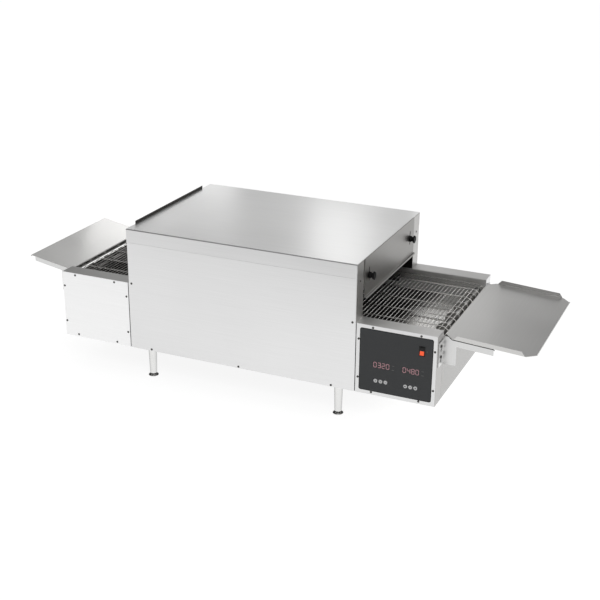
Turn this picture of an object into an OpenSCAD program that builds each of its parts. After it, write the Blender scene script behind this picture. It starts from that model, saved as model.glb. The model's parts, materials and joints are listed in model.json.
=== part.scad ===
// Counter-top conveyor oven: a tunnel body, an endless wire belt, two trays and four legs.
// X runs along the belt from infeed to exit, Y from front to back, Z up from the counter.

/* [Oven body] */
// Length of the oven body between its two ends
body_w = 780; // [770:1:800]
// Depth of the oven from front to back
body_d = 566; // [560:1:572]
// Height of the oven body above its underside
body_h = 405; // [402:1:412]
// Height of the underside above the counter
leg_h = 100; // [90:1:110]
// Thickness of the stainless sheet
sheet = 1.5; // [1.2:0.1:1.6]
// Height of the front band that is turned down from the top cover
band_h = 45; // [40:1:50]

/* [Conveyor ends] */
// Length of each open conveyor end
end_l = 253; // [250:1:258]
// Height of the conveyor ends above the underside
end_h = 224; // [222:1:228]
// Width of the ledge on each side of the belt
ledge_w = 57; // [55:1:58]
// Depth of the belt wires below the ledges
belt_drop = 16; // [14:1:18]

/* [Belt] */
// Distance from one belt wire to the next
pitch = 12.7; // [12.6:0.05:12.75]
// Thickness of the belt wire
wire = 1.8; // [1.6:0.1:2]
// Width of the belt
belt_w = 444; // [438:1:446]
// Wire steps between the two shafts
run_steps = 97; // [95:1:97]
// Teeth on each belt sprocket
teeth = 12; // [10:2:12]

/* [Tunnel baffles] */
// Height of a baffle plate above its lip
baffle_h = 122; // [119:1:122]
// Height of the exit baffle's lip above the underside
exit_lip = 277.5; // [273:0.5:280]
// How much higher the infeed baffle is clamped
infeed_raise = 10; // [6:1:12]

/* [Trays] */
// Reach of the exit tray beyond the conveyor end
exit_reach = 275; // [260:1:290]
// Downward slope of the exit tray
exit_slope = 3.8; // [2:0.1:6]
// Reach of the infeed shelf beyond the conveyor end
infeed_reach = 164; // [150:1:180]
// Upward slope of the infeed shelf
infeed_slope = 10; // [6:0.5:12]

/* [Hidden] */
$fn = 48;
gap = 0.3;
seam = 1;
lap = 0.5;
joint_gap = 2.5;
running = 0.05;
bend_r = 3;
bend_fn = 24;

// Main planes
overall = infeed_reach + end_l + body_w + end_l + exit_reach;
body_x0 = infeed_reach + end_l - overall / 2;
body_x1 = body_x0 + body_w;
line_x0 = body_x0 - end_l;
line_x1 = body_x1 + end_l;
front = -body_d / 2;
back = body_d / 2;
under = leg_h;
roof_z = under + body_h;
band_z = roof_z - band_h;
ledge_z = under + end_h;
flange_w = ledge_w - 4;
corner_w = 55;

// Belt line
sprocket_r = pitch / (2 * sin(180 / teeth));
belt_z = ledge_z - belt_drop;
shaft_z = belt_z - sprocket_r;
return_z = shaft_z - sprocket_r;
deck_gap = 2;
deck_z = return_z - wire / 2 - deck_gap;
shaft_x0 = (line_x0 + line_x1 - run_steps * pitch) / 2;
shaft_x1 = shaft_x0 + run_steps * pitch;
shaft_r = 8;
link_ys = [wire - belt_w / 2, -88, 88, belt_w / 2 - wire];
cells = len(link_ys) - 1;
link_lean = 6;
link_w = 2.3;
link_t = 1.4;
wrap_wires = teeth / 2;
step_angle = 360 / teeth;
sprocket_ys = [-135, -45, 45, 135];
sprocket_w = 6;
bearing_l = 9;

// Heating chamber
chamber_y = body_d / 2 - ledge_w;
liner_y = body_d / 2 - flange_w;
chamber_z = under + 351;
header_z = under + 315;
heater_count = 7;
heater_r = 6;
lower_heater_r = 4.5;
upper_heater_z = under + 330;
lower_heater_z = return_z + 15;

// Baffles and their knobs
baffle_y = chamber_y - 3;
lip_h = 5.5;
lip_out = 8.5;
knob_y = 185;
knob_z = under + 341.5;
stud_r = 3;
slot_r = 3.5;
slot_low = 47;
slot_l = 40;

// Trays: height of the near edge, distance to the conveyor end, and the brackets
tray_gap = 5;
exit_near_z = under + 211.5;
infeed_near_z = under + 210.5;
exit_near_w = 442;
exit_full_w = 499;
exit_lip_h = 13;
shelf_w = 452;
bracket_t = 2;
bracket_leg_w = 42;
exit_leg_z = under + 122;
infeed_leg_z = under + 132;
hanger_y = front + 30;
hanger_lift = 12;
hanger_low = 28;
hanger_high = 62;
exit_arm_y = front + 47;
exit_arm_l = 152;
exit_arm_h = 26;
infeed_arm_l = 146;
infeed_arm_h = 14;

// Legs and feet
leg_in_x = 62;
leg_in_y = 29;
leg_r_top = 14;
leg_r_low = 11.5;
leg_bottom = 8;
foot_r = 16.5;
foot_h = 5;
stem_r = 6;
stem_l = 38;
leg_xs = [body_x0 + leg_in_x, body_x1 - leg_in_x];

// Control panel, measured from the exit end of the body and from the underside
overlay_t = 0.8;
overlay_r = 6;
window_sink = 0.2;
window_depth = 4;
overlay_x = [14, 241];
overlay_z = [12, 212.5];
display_w = 57;
display_h = 21;
display_xs = [84, 175.5];
display_zc = 101;
key_r = 6;
key_xs = [67.2, 83, 98.8, 160.6, 176.2, 191.9];
key_zc = 49;
key_travel = 0.8;
key_proud = 0.6;
key_depth = 2;
plunger_r = 2;
board_y = front + 14;
rocker_xc = 207.5;
rocker_zc = 171;
rocker_w = 12;
rocker_half_h = 11.5;
rocker_tilt = 14;
rocker_depth = 3;
rocker_r = 12.9;
bezel_w = 18;
bezel_h = 31;
bezel_t = 1.6;
bezel_gap = 0.4;

// A block between two opposite corners
module span(lo, hi) {
  translate(lo) cube(hi - lo);
}

// A piece and its mirror image on the other side of the belt
module both_sides() {
  children();
  mirror([0, 1, 0]) children();
}

// A flat outline in Y and Z, extruded along X
module along_x(x0, x1) {
  translate([x0, 0, 0]) rotate([90, 0, 90]) linear_extrude(x1 - x0) children();
}

// A flat outline in X and Z, extruded along Y
module along_y(y0, y1) {
  translate([0, y1, 0]) rotate([90, 0, 0]) linear_extrude(y1 - y0) children();
}

// A round bar along Y
module bar_y(r, x, z, y0, y1) {
  translate([x, y0, z]) rotate([-90, 0, 0]) cylinder(r = r, h = y1 - y0);
}

// A round bar along X
module bar_x(r, y, z, x0, x1) {
  translate([x0, y, z]) rotate([0, 90, 0]) cylinder(r = r, h = x1 - x0);
}

// Outward frames: X points away from the oven at each end
module at_right_end() { translate([body_x1, 0, 0]) children(); }
module at_left_end() { translate([body_x0, 0, 0]) mirror([1, 0, 0]) children(); }
module at_exit() { translate([line_x1, 0, 0]) children(); }
module at_infeed() { translate([line_x0, 0, 0]) mirror([1, 0, 0]) children(); }

// A slot with round ends, upright in the outline plane
module slot_2d(c, r, low, high) {
  translate([c, low]) circle(r);
  translate([c, high]) circle(r);
  translate([c - r, low]) square([2 * r, high - low]);
}

// A rectangle with round corners, given by its limits
module rounded_2d(x, y, r) {
  translate([x[0] + r, y[0]]) square([x[1] - x[0] - 2 * r, y[1] - y[0]]);
  translate([x[0], y[0] + r]) square([x[1] - x[0], y[1] - y[0] - 2 * r]);
  for (cx = [x[0] + r, x[1] - r], cy = [y[0] + r, y[1] - r]) translate([cx, cy]) circle(r);
}

// A flat outline whose corner at the origin is round
module corner_2d(a, b, r) {
  translate([r, 0]) square([a - r, b]);
  translate([0, r]) square([a, b - r]);
  translate([r, r]) circle(r, $fn = bend_fn);
}

// The section of a sheet that is bent once: legs along X and Y from its outer corner
module bent_2d(a, b) {
  difference() {
    corner_2d(a, b, bend_r);
    translate([sheet, sheet]) corner_2d(a, b, bend_r - sheet);
  }
}

// The corners that the bends of the conveyor-end panels take up
module corner_clips() {
  size = [2 * bend_r, 2 * bend_r, end_h + 2 * lap];
  for (x = [line_x0, line_x1], y = [front, back])
    translate([x, y, under + end_h / 2]) cube(size, center = true);
}

// The roof with its turned-down front and rear bands
module top_cover() {
  color("gainsboro") both_sides() along_x(body_x0, body_x1)
    translate([front, roof_z]) mirror([0, 1]) bent_2d(body_d / 2 + lap, band_h - gap);
}

// A body panel that is bent round onto both end faces above the conveyor
module body_panel() {
  span([body_x0, front, under], [body_x1, front + sheet, ledge_z]);
  for (end = [0, 1]) translate([(body_x0 + body_x1) / 2, front, 0]) mirror([end, 0, 0]) {
    translate([-body_w / 2, 0, ledge_z]) linear_extrude(band_z - ledge_z)
      bent_2d(body_w / 2 + lap, flange_w);
    span([-body_w / 2, bend_r, band_z - lap], [sheet - body_w / 2, flange_w, roof_z - bend_r]);
  }
}

module front_panel() {
  color("whitesmoke") body_panel();
}

module rear_panel() {
  color("gainsboro") mirror([0, 1, 0]) body_panel();
}

// The fixed wall above the tunnel mouth, drilled for the knob studs
module end_wall() {
  difference() {
    span([-sheet, front + flange_w, header_z], [0, back - flange_w, roof_z - sheet]);
    for (y = [-knob_y, knob_y]) bar_x(stud_r + running, y, knob_z, -2 * sheet, sheet);
  }
}

module right_end_wall() {
  color("silver") at_right_end() end_wall();
}

module left_end_wall() {
  color("silver") at_left_end() end_wall();
}

// The floor sheet, with turned-up sides and cooling slots under the control end
module base_pan() {
  vent_l = 70;
  vent_r = 2.5;
  vent_pitch = 14;
  vents = 9;
  vent_x = line_x1 - 70;
  vent_y = 90;
  side_h = 18;
  color("silver") difference() {
    both_sides() along_x(line_x0 + sheet, line_x1 - sheet)
      translate([front + sheet, under]) bent_2d(body_d / 2 - sheet + lap, side_h);
    corner_clips();
    for (i = [0 : vents - 1], y = [-vent_y, vent_y])
      translate([vent_x - i * vent_pitch, y, under - sheet])
        linear_extrude(3 * sheet) slot_2d(0, vent_r, -vent_l / 2, vent_l / 2);
  }
}

// A conveyor-end panel with its corner flange, in the outward frame of that end
module end_cover() {
  translate([0, front, under]) linear_extrude(end_h)
    mirror([1, 0]) bent_2d(end_l - joint_gap, corner_w);
}

module infeed_front_panel() {
  color("white") at_infeed() end_cover();
}

module control_panel() {
  color("white") difference() {
    at_exit() end_cover();
    control_cutouts(sheet, key_r + bezel_gap);
  }
}

// The openings for displays, keys and switch, cut through to a depth behind the front face
module control_cutouts(depth, hole_r) {
  translate([body_x1, 0, under]) {
    for (x = display_xs)
      span([x - display_w / 2, front - 2, display_zc - display_h / 2],
           [x + display_w / 2, front + depth + 1, display_zc + display_h / 2]);
    for (x = key_xs) bar_y(hole_r, x, key_zc, front - 2, front + depth + 1);
    span([rocker_xc - bezel_w / 2 + bezel_t, front - 2, rocker_zc - bezel_h / 2 + 1],
         [rocker_xc + bezel_w / 2 - bezel_t, front + depth + 1, rocker_zc + bezel_h / 2 - 1]);
  }
}

// The two rear covers, the one behind the controls with cooling slots
module housing_rear_panels() {
  vents = 8;
  vent_r = 2;
  vent_pitch = 14;
  vent_x = body_x1 + 70;
  vent_z = [under + 35, under + 95];
  color("gainsboro") {
    mirror([0, 1, 0]) at_infeed() end_cover();
    difference() {
      mirror([0, 1, 0]) at_exit() end_cover();
      for (i = [0 : vents - 1])
        along_y(back - 3 * sheet, back + sheet)
          slot_2d(vent_x + i * vent_pitch, vent_r, vent_z[0], vent_z[1]);
    }
  }
}

// The plates that close the conveyor ends below the belt
module housing_end_panels() {
  half = body_d / 2 - corner_w - seam;
  color("silver") {
    at_exit() span([-sheet, -half, under], [0, half, deck_z]);
    at_infeed() span([-sheet, -half, under], [0, half, deck_z]);
  }
}

// The side rail: ledge, inner wall and the foot that carries the deck, with holes for both shafts
module side_rail() {
  inner = -chamber_y;
  foot_w = 12;
  foot_z = deck_z - 2 * sheet;
  hole_r = shaft_r + 2;
  difference() {
    along_x(line_x0 + sheet, line_x1 - sheet) {
      translate([inner, ledge_z]) rotate(180) bent_2d(inner - front - sheet, ledge_z - foot_z - bend_r);
      translate([inner - sheet, foot_z]) bent_2d(foot_w + sheet, 2 * bend_r);
    }
    corner_clips();
    for (x = [shaft_x0, shaft_x1]) bar_y(hole_r, x, shaft_z, inner - 2 * sheet, inner + sheet);
  }
}

module front_rail() {
  color("silver") side_rail();
}

module rear_rail() {
  color("silver") mirror([0, 1, 0]) side_rail();
}

// The deck under the returning belt, laid on the feet of both rails
module deck_pan() {
  half = chamber_y - bend_r;
  color("darkgray")
    span([line_x0 + sheet, -half, deck_z - sheet], [line_x1 - sheet, half, deck_z]);
}

// The frame that the upper run slides on inside the tunnel
module belt_skids() {
  top = belt_z - wire / 2 - 0.5;
  skid_h = 8;
  skid_w = 6;
  margin = 20;
  skid_ys = [-165, -30, 30, 165];
  color("dimgray") {
    for (y = skid_ys)
      span([body_x0 + margin, y - skid_w / 2, top - skid_h], [body_x1 - margin, y + skid_w / 2, top]);
    for (x = [body_x0 + 2 * margin, (body_x0 + body_x1) / 2, body_x1 - 2 * margin])
      span([x - skid_w / 2, -chamber_y, top - 2 * skid_h], [x + skid_w / 2, chamber_y, top - skid_h]);
  }
}

module chamber_roof() {
  color("gray")
    span([body_x0 + sheet, -liner_y, chamber_z], [body_x1 - sheet, liner_y, chamber_z + sheet]);
}

module chamber_side_liners() {
  color("gray") both_sides()
    span([body_x0 + sheet, -liner_y - sheet, ledge_z], [body_x1 - sheet, -liner_y, chamber_z + sheet]);
}

// Mineral wool behind both liners and over the roof liner, clear of the bends of the casing
module insulation() {
  low = chamber_z + sheet;
  color("khaki") {
    span([body_x0 + bend_r, front + bend_r, low], [body_x1 - bend_r, back - bend_r, roof_z - bend_r]);
    both_sides()
      span([body_x0 + bend_r, front + bend_r, ledge_z], [body_x1 - bend_r, -liner_y - sheet, low]);
  }
}

// A row of sheathed heating rods across the chamber, each with a ceramic end at both walls
module heater_row(z, r, wall_y) {
  step = body_w / (heater_count + 1);
  cap_l = 12;
  cap_t = 2;
  for (i = [1 : heater_count]) {
    x = body_x0 + i * step - step / 4;
    bar_y(r, x, z, -wall_y + cap_l, wall_y - cap_l);
    both_sides() bar_y(r + cap_t, x, z, -wall_y, -wall_y + cap_l);
  }
}

module upper_heaters() {
  color("tan") heater_row(upper_heater_z, heater_r, liner_y);
}

module lower_heaters() {
  color("tan") heater_row(lower_heater_z, lower_heater_r, chamber_y);
}

// The sensor that reaches into the chamber through the rear liner
module thermocouple() {
  x = 60;
  z = under + 300;
  probe_r = 2.5;
  probe_l = 70;
  boss_r = 6;
  boss_l = 6;
  color("lightgray") {
    bar_y(probe_r, x, z, liner_y - probe_l, liner_y);
    bar_y(boss_r, x, z, liner_y - boss_l, liner_y);
  }
}

module control_overlay() {
  color("darkslategray") difference() {
    translate([body_x1, 0, under])
      along_y(front - overlay_t, front) rounded_2d(overlay_x, overlay_z, overlay_r);
    control_cutouts(sheet, key_r + bezel_gap);
  }
}

module display_windows() {
  color("maroon") for (x = display_xs)
    span([body_x1 + x - display_w / 2, front - overlay_t + window_sink, under + display_zc - display_h / 2],
         [body_x1 + x + display_w / 2, front + window_depth, under + display_zc + display_h / 2]);
}

// The switch frame, seated on the overlay and open at its back for the rocker
module rocker_bezel() {
  face = front - overlay_t;
  color("black") translate([body_x1 + rocker_xc, 0, under + rocker_zc]) difference() {
    union() {
      span([-bezel_w / 2, face - bezel_t, -bezel_h / 2], [bezel_w / 2, face, bezel_h / 2]);
      span([-bezel_w / 2 + bezel_t, face, -bezel_h / 2 + 1],
           [bezel_w / 2 - bezel_t, front + 12, bezel_h / 2 - 1]);
    }
    span([-rocker_w / 2 - bezel_gap, face - 2 * bezel_t, -rocker_r - bezel_gap],
         [rocker_w / 2 + bezel_gap, front + 13, rocker_r + bezel_gap]);
  }
}

// The lit rocker: two flats that meet over the pivot, upper half pressed in
module power_rocker() {
  face = front - overlay_t - bezel_t;
  drop = rocker_half_h * tan(rocker_tilt);
  color("orangered") translate([body_x1 + rocker_xc, face, under + rocker_zc])
    along_x(-rocker_w / 2, rocker_w / 2) intersection() {
      translate([rocker_depth, 0]) circle(rocker_r);
      polygon([
        [0, 0], [0, rocker_half_h], [rocker_depth + 6, rocker_half_h],
        [rocker_depth + 6, -rocker_half_h], [-drop, -rocker_half_h]
      ]);
    }
}

// A round key with its plunger towards the board
module key(i) {
  color("white") translate([body_x1, 0, under]) {
    bar_y(key_r, key_xs[i], key_zc, front - overlay_t - key_proud, front + key_depth);
    bar_y(plunger_r, key_xs[i], key_zc, front + key_depth, board_y - key_travel - gap);
  }
}

// The board behind the panel, on four posts, with its larger components
module control_board() {
  board_x = [24, 234];
  board_z = [20, 150];
  board_t = 1.6;
  post_in = 8;
  post_r = 3;
  parts_y = board_y + board_t;
  capacitor = [7, 22];
  transformer = [40, 18, 35];
  chip = [30, 4, 30];
  color("darkgreen") translate([body_x1, 0, under]) {
    span([board_x[0], board_y, board_z[0]], [board_x[1], parts_y, board_z[1]]);
    for (x = [board_x[0] + post_in, board_x[1] - post_in], z = [board_z[0] + post_in, board_z[1] - post_in])
      bar_y(post_r, x, z, front + sheet, board_y);
    for (x = [50, 72, 94]) bar_y(capacitor[0], x, 128, parts_y, parts_y + capacitor[1]);
    translate([140, parts_y, 100]) cube(transformer);
    translate([60, parts_y, 60]) cube(chip);
  }
}

// Two heater relays on a finned plate on the base pan
module power_relays() {
  fin_count = 8;
  fin_step = 12;
  fin = [110, 3, 12];
  plate = [110, 90, 4];
  relay = [45, 58, 24];
  color("darkgray") translate([body_x1 + 60, 60, under + sheet]) {
    cube(plate);
    for (i = [0 : fin_count - 1]) translate([0, i * fin_step, plate[2]]) cube(fin);
    for (x = [5, 60]) translate([x, 20, plate[2] + fin[2]]) cube(relay);
  }
}

// The shaft-mounted gearmotor in the rear rail box
module gearmotor() {
  y0 = chamber_y + sheet + bearing_l + 2;
  y1 = back - 8;
  yc = (y0 + y1) / 2;
  motor_z = shaft_z - 22;
  motor_r = 20;
  motor_l = 95;
  tail_r = 16;
  tail_l = 9;
  box_x = [shaft_x1 - 30, shaft_x1 + 20];
  box_z = [shaft_z - 46, shaft_z + 20];
  post_r = 4;
  bore_r = shaft_r + 0.5;
  color("steelblue") difference() {
    union() {
      along_y(y0, y1) rounded_2d(box_x, box_z, 8);
      bar_x(motor_r, yc, motor_z, box_x[0] - motor_l, box_x[0]);
      bar_x(tail_r, yc, motor_z, box_x[0] - motor_l - tail_l, box_x[0] - motor_l);
      for (x = [shaft_x1 - 22, shaft_x1 + 16], z = [shaft_z - 20, shaft_z + 14])
        bar_y(post_r, x, z, chamber_y + sheet, y0);
    }
    bar_y(bore_r, shaft_x1, shaft_z, y0 - 1, y1 + 1);
  }
}

// Four flanged bearings on the outer faces of the rail walls
module shaft_bearings() {
  y0 = chamber_y + sheet;
  flange_r = 17;
  flange_l = 4;
  barrel_r = 12.5;
  color("dimgray") for (x = [shaft_x0, shaft_x1]) both_sides() difference() {
    union() {
      bar_y(flange_r, x, shaft_z, y0, y0 + flange_l);
      bar_y(barrel_r, x, shaft_z, y0 + flange_l, y0 + bearing_l);
    }
    bar_y(shaft_r + running, x, shaft_z, y0 - 1, y0 + bearing_l + 1);
  }
}

// The supply inlet under the control end: a flange nut and an open sleeve
module cord_gland() {
  nut_r = 17;
  nut_h = 6;
  sleeve_r = 12;
  sleeve_h = 14;
  bore_r = 7;
  bore_h = 16;
  color("black") translate([line_x1 - 45, back - 60, under]) mirror([0, 0, 1]) difference() {
    union() {
      cylinder(r = nut_r, h = nut_h, $fn = 6);
      translate([0, 0, nut_h]) cylinder(r = sleeve_r, h = sleeve_h);
    }
    translate([0, 0, nut_h + sleeve_h - bore_h]) cylinder(r = bore_r, h = bore_h + 1);
  }
}

// Four turned and tapered legs with a drawn-in lower end, bored for the foot stems
module legs() {
  neck_h = 4;
  bore_h = 44;
  bore_r = stem_r + running;
  h = under - leg_bottom;
  color("lightgray") for (x = leg_xs) both_sides() translate([x, front + leg_in_y, leg_bottom])
    rotate_extrude() polygon([
      [bore_r, 0], [leg_r_low - 2, 0], [leg_r_low - 0.6, neck_h / 3], [leg_r_low, neck_h],
      [leg_r_top, h], [0, h], [0, bore_h], [bore_r, bore_h]
    ]);
}

// A screw-in foot: a domed disc with a soft rim, turned with its stem
module foot(x, y) {
  rim = 1;
  dome_r = foot_r - 5;
  color("dimgray") translate([x, y, 0]) rotate_extrude() polygon([
    [0, 0], [foot_r - rim, 0], [foot_r, rim], [foot_r, foot_h - 2 * rim], [foot_r - rim, foot_h - rim],
    [dome_r, foot_h], [stem_r, foot_h], [stem_r, foot_h + stem_l], [0, foot_h + stem_l]
  ]);
}

// A baffle plate with two clamp slots and a hemmed lip, in the outward frame of its end
module baffle(lip_z) {
  plate_z = lip_z + lip_h - sheet;
  edge = gap + lip_out;
  along_x(gap, gap + sheet) difference() {
    translate([-baffle_y, plate_z + bend_r]) square([2 * baffle_y, baffle_h - bend_r]);
    for (y = [-knob_y, knob_y]) slot_2d(y, slot_r, lip_z + slot_low, lip_z + slot_low + slot_l);
  }
  along_y(-baffle_y, baffle_y) {
    translate([gap, plate_z]) bent_2d(lip_out - bend_r, bend_r + sheet);
    translate([edge, plate_z + sheet]) rotate(180) bent_2d(lip_out - bend_r, lip_h);
  }
}

module right_baffle() {
  color("silver") at_right_end() baffle(under + exit_lip);
}

module left_baffle() {
  color("dimgray") at_left_end() baffle(under + exit_lip + infeed_raise);
}

// A spool-shaped clamp knob: stud, collar, waist and a lobed head
module knob(y) {
  base = 2 * gap + sheet;
  stud_l = 8;
  lobes = 6;
  collar_r = 10;
  waist_r = 7.5;
  head_r = 11;
  lobe_r = 3.5;
  lobe_out = 9.5;
  head_l = 6;
  tip = base + 18;
  neck = tip - head_l;
  color("black") translate([0, y, knob_z]) rotate([0, 90, 0]) {
    rotate_extrude() polygon([
      [0, -stud_l], [stud_r, -stud_l], [stud_r, base], [collar_r - 1, base], [collar_r, base + 1],
      [collar_r, base + 5], [waist_r, base + 7], [waist_r, neck + lap], [0, neck + lap]
    ]);
    translate([0, 0, neck]) linear_extrude(head_l - 1) {
      circle(head_r);
      for (i = [0 : lobes - 1]) rotate(i * 360 / lobes)
        translate([lobe_out, 0]) circle(lobe_r, $fn = bend_fn);
    }
    translate([0, 0, tip - 1 - lap]) cylinder(r1 = head_r - 1, r2 = head_r - 2, h = 1 + lap);
  }
}

// The exit tray: chamfered sheet, upturned side lips and a small hem at the far edge
module exit_tray() {
  l = (exit_reach - tray_gap) / cos(exit_slope);
  near = exit_near_w / 2;
  full = exit_full_w / 2;
  chamfer = full - near;
  slant = 12;
  hem = 4;
  color("darkgray") at_exit() translate([tray_gap, 0, exit_near_z]) rotate([0, exit_slope, 0]) {
    both_sides() {
      translate([0, 0, -sheet]) linear_extrude(sheet) polygon([
        [0, -near], [chamfer - bend_r, bend_r - full], [l - chamfer + bend_r, bend_r - full],
        [l, -near], [l, 0], [0, 0]
      ]);
      intersection() {
        along_x(chamfer, l - chamfer) translate([-full, -sheet]) bent_2d(2 * bend_r, exit_lip_h + sheet);
        along_y(-full, 2 * bend_r - full) polygon([
          [chamfer, -sheet], [l - chamfer, -sheet],
          [l - chamfer - slant, exit_lip_h], [chamfer + slant, exit_lip_h]
        ]);
      }
    }
    span([l - sheet, -near, -sheet], [l, near, hem]);
  }
}

// The infeed shelf: a flat sheet that is turned down at its near and far edges
module infeed_shelf() {
  l = (infeed_reach - tray_gap) / cos(infeed_slope);
  near_h = 17;
  near_y = shelf_w / 2 - bracket_t - seam;
  hem = 6;
  color("darkgray") at_infeed() translate([tray_gap, 0, infeed_near_z]) rotate([0, -infeed_slope, 0]) {
    along_y(-near_y, near_y) mirror([0, 1]) bent_2d(l / 2, near_h);
    along_y(-shelf_w / 2, shelf_w / 2) translate([l, 0]) rotate(180) bent_2d(l - bend_r, hem);
  }
}

// Height of a sloping tray's underside at a distance from the conveyor end
function underside(x, near_z, slope) = near_z - sheet / cos(slope) - (x - tray_gap) * tan(slope);

// A welded L bracket: arm under the tray, leg, and a flange that hangs on two shoulder screws
module bracket(near_z, slope, arm_y, arm_l, arm_h, leg_z) {
  x0 = gap;
  flange_h = 78;
  flange_y = front + 11;
  neck_slot_r = 3;
  keyhole_r = 5.5;
  both_sides() {
    along_y(arm_y, arm_y + bracket_t) polygon([
      [x0, underside(x0, near_z, slope)], [arm_l, underside(arm_l, near_z, slope)],
      [arm_l, underside(arm_l, near_z, slope) - arm_h],
      [bracket_leg_w, underside(bracket_leg_w, near_z, slope) - arm_h],
      [bracket_leg_w, leg_z], [x0, leg_z]
    ]);
    along_x(x0, x0 + bracket_t) difference() {
      translate([flange_y, leg_z]) square([arm_y + bracket_t - flange_y, flange_h]);
      for (z = hanger_zs(leg_z)) {
        slot_2d(hanger_y, neck_slot_r, z - hanger_lift, z);
        translate([hanger_y, z - hanger_lift]) circle(keyhole_r);
      }
    }
  }
}

// Heights of the two hanging screws above a bracket's lower end
function hanger_zs(leg_z) = [leg_z + hanger_low, leg_z + hanger_high];

module exit_brackets() {
  color("whitesmoke") at_exit()
    bracket(exit_near_z, exit_slope, exit_arm_y, exit_arm_l, exit_arm_h, exit_leg_z);
}

module infeed_brackets() {
  color("whitesmoke") at_infeed()
    bracket(infeed_near_z, -infeed_slope, -shelf_w / 2, infeed_arm_l, infeed_arm_h, infeed_leg_z);
}

// A shoulder screw: neck through the keyhole and a flat head in front of it
module shoulder_screw(z) {
  neck_r = 2.5;
  neck_l = 2 * gap + bracket_t;
  head_r = 4.8;
  head_h = 2;
  both_sides() {
    bar_x(neck_r, hanger_y, z, 0, neck_l);
    bar_x(head_r, hanger_y, z, neck_l, neck_l + head_h);
  }
}

module hanger_screws() {
  color("gray") {
    at_exit() for (z = hanger_zs(exit_leg_z)) shoulder_screw(z);
    at_infeed() for (z = hanger_zs(infeed_leg_z)) shoulder_screw(z);
  }
}

// Pan-head screws on the body, the conveyor ends and the end flanges
module panel_screws() {
  head_r = 3.5;
  head_h = 1.4;
  row_x = [54, 203];
  row_z = [8, 217];
  side_x = [10, 246];
  side_z = [51, 175];
  sill_x = [76, body_w / 2, body_w - 76];
  sill_z = 5;
  corner_x = [11, body_w - 11];
  corner_z = 223;
  flange_y = front + 29;
  flange_z = under + 345;
  color("dimgray") {
    both_sides() {
      for (x = sill_x) bar_y(head_r, body_x0 + x, under + sill_z, front - head_h, front);
      for (x = corner_x) bar_y(head_r, body_x0 + x, under + corner_z, front - head_h, front);
      for (s = [-1, 1]) {
        base = s < 0 ? body_x0 : body_x1;
        for (x = row_x, z = row_z) bar_y(head_r, base + s * x, under + z, front - head_h, front);
        for (x = side_x, z = side_z) bar_y(head_r, base + s * x, under + z, front - head_h, front);
      }
    }
    both_sides() {
      at_right_end() bar_x(head_r, flange_y, flange_z, 0, head_h);
      at_left_end() bar_x(head_r, flange_y, flange_z, 0, head_h);
    }
  }
}

// One opening of the belt between two wires and two slanted links
module belt_gap(k, c) {
  lean = k % 2 == 0 ? link_lean : -link_lean;
  lean_0 = c == 0 ? 0 : lean;
  lean_1 = c == cells - 1 ? 0 : lean;
  trim_0 = c == 0 ? 0 : link_w / 2;
  trim_1 = c == cells - 1 ? 0 : link_w / 2;
  y0 = link_ys[c] + trim_0;
  y1 = link_ys[c + 1] - trim_1;
  x0 = k * pitch + wire / 2;
  x1 = (k + 1) * pitch - wire / 2;
  polygon([[x0, y0 - lean_0], [x1, y0 + lean_0], [x1, y1 + lean_1], [x0, y1 - lean_1]]);
}

// A flat run of the belt: one wire at every step, joined by slanted links
module belt_run(x, z) {
  run_l = (run_steps - 1) * pitch;
  color("dimgray") translate([x, 0, z - wire / 2]) linear_extrude(wire) difference() {
    translate([-wire / 2, -belt_w / 2]) square([run_l + wire, belt_w]);
    for (k = [0 : run_steps - 2], c = [0 : cells - 1]) belt_gap(k, c);
  }
}

module belt_top_run() {
  belt_run(shaft_x0, belt_z);
}

module belt_bottom_run() {
  belt_run(shaft_x0 + pitch, return_z);
}

// One link of the bend, set on the chord between two wires
module wrap_link(y, lean, length) {
  chord_r = sprocket_r * cos(step_angle / 2);
  translate([chord_r, y, 0]) rotate([lean, 0, 0]) cube([link_t, link_t, length], center = true);
}

// The belt where it bends round a shaft, in steps of one tooth, with links between its wires
module wrap(x, start) {
  lean = atan(2 * link_lean / pitch);
  color("dimgray") translate([x, 0, shaft_z]) {
    for (i = [0 : wrap_wires - 1])
      rotate([0, i * step_angle - start, 0])
        translate([sprocket_r, 0, 0]) cube([wire, belt_w, wire], center = true);
    for (i = [0 : wrap_wires - 2])
      rotate([0, (i + 0.5) * step_angle - start, 0]) {
        for (y = [link_ys[0], link_ys[cells]]) wrap_link(y, 0, pitch);
        for (c = [1 : cells - 1])
          wrap_link(link_ys[c], i % 2 == 0 ? lean : -lean, pitch / cos(lean));
      }
  }
}

module drive_wrap() {
  wrap(shaft_x1, 90);
}

module idler_wrap() {
  wrap(shaft_x0, 270);
}

// Toothed discs whose teeth stand between the wires
module sprockets(x) {
  root_r = sprocket_r - wire / 2 - 0.1;
  tip_r = sprocket_r + 1.2;
  in_r = root_r - 1;
  tooth_root = 3.2;
  tooth_tip = 1.6;
  hub_r = 14;
  hub_l = sprocket_w / 2 + 6;
  color("gray") translate([x, 0, shaft_z]) for (y = sprocket_ys) difference() {
    union() {
      along_y(y - sprocket_w / 2, y + sprocket_w / 2) {
        circle(root_r);
        for (i = [0 : teeth - 1]) rotate((i + 0.5) * step_angle)
          polygon([[in_r, -tooth_root], [tip_r, -tooth_tip], [tip_r, tooth_tip], [in_r, tooth_root]]);
      }
      bar_y(hub_r, 0, 0, y - hub_l, y + hub_l);
    }
    bar_y(shaft_r, 0, 0, y - hub_l - 1, y + hub_l + 1);
  }
}

module drive_sprockets() {
  sprockets(shaft_x1);
}

module idler_sprockets() {
  sprockets(shaft_x0);
}

// The driven shaft reaches through the gearmotor, the idler ends at its bearings
module drive_shaft() {
  color("silver") bar_y(shaft_r, shaft_x1, shaft_z, -chamber_y - sheet - bearing_l - 3, back - 6);
}

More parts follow.
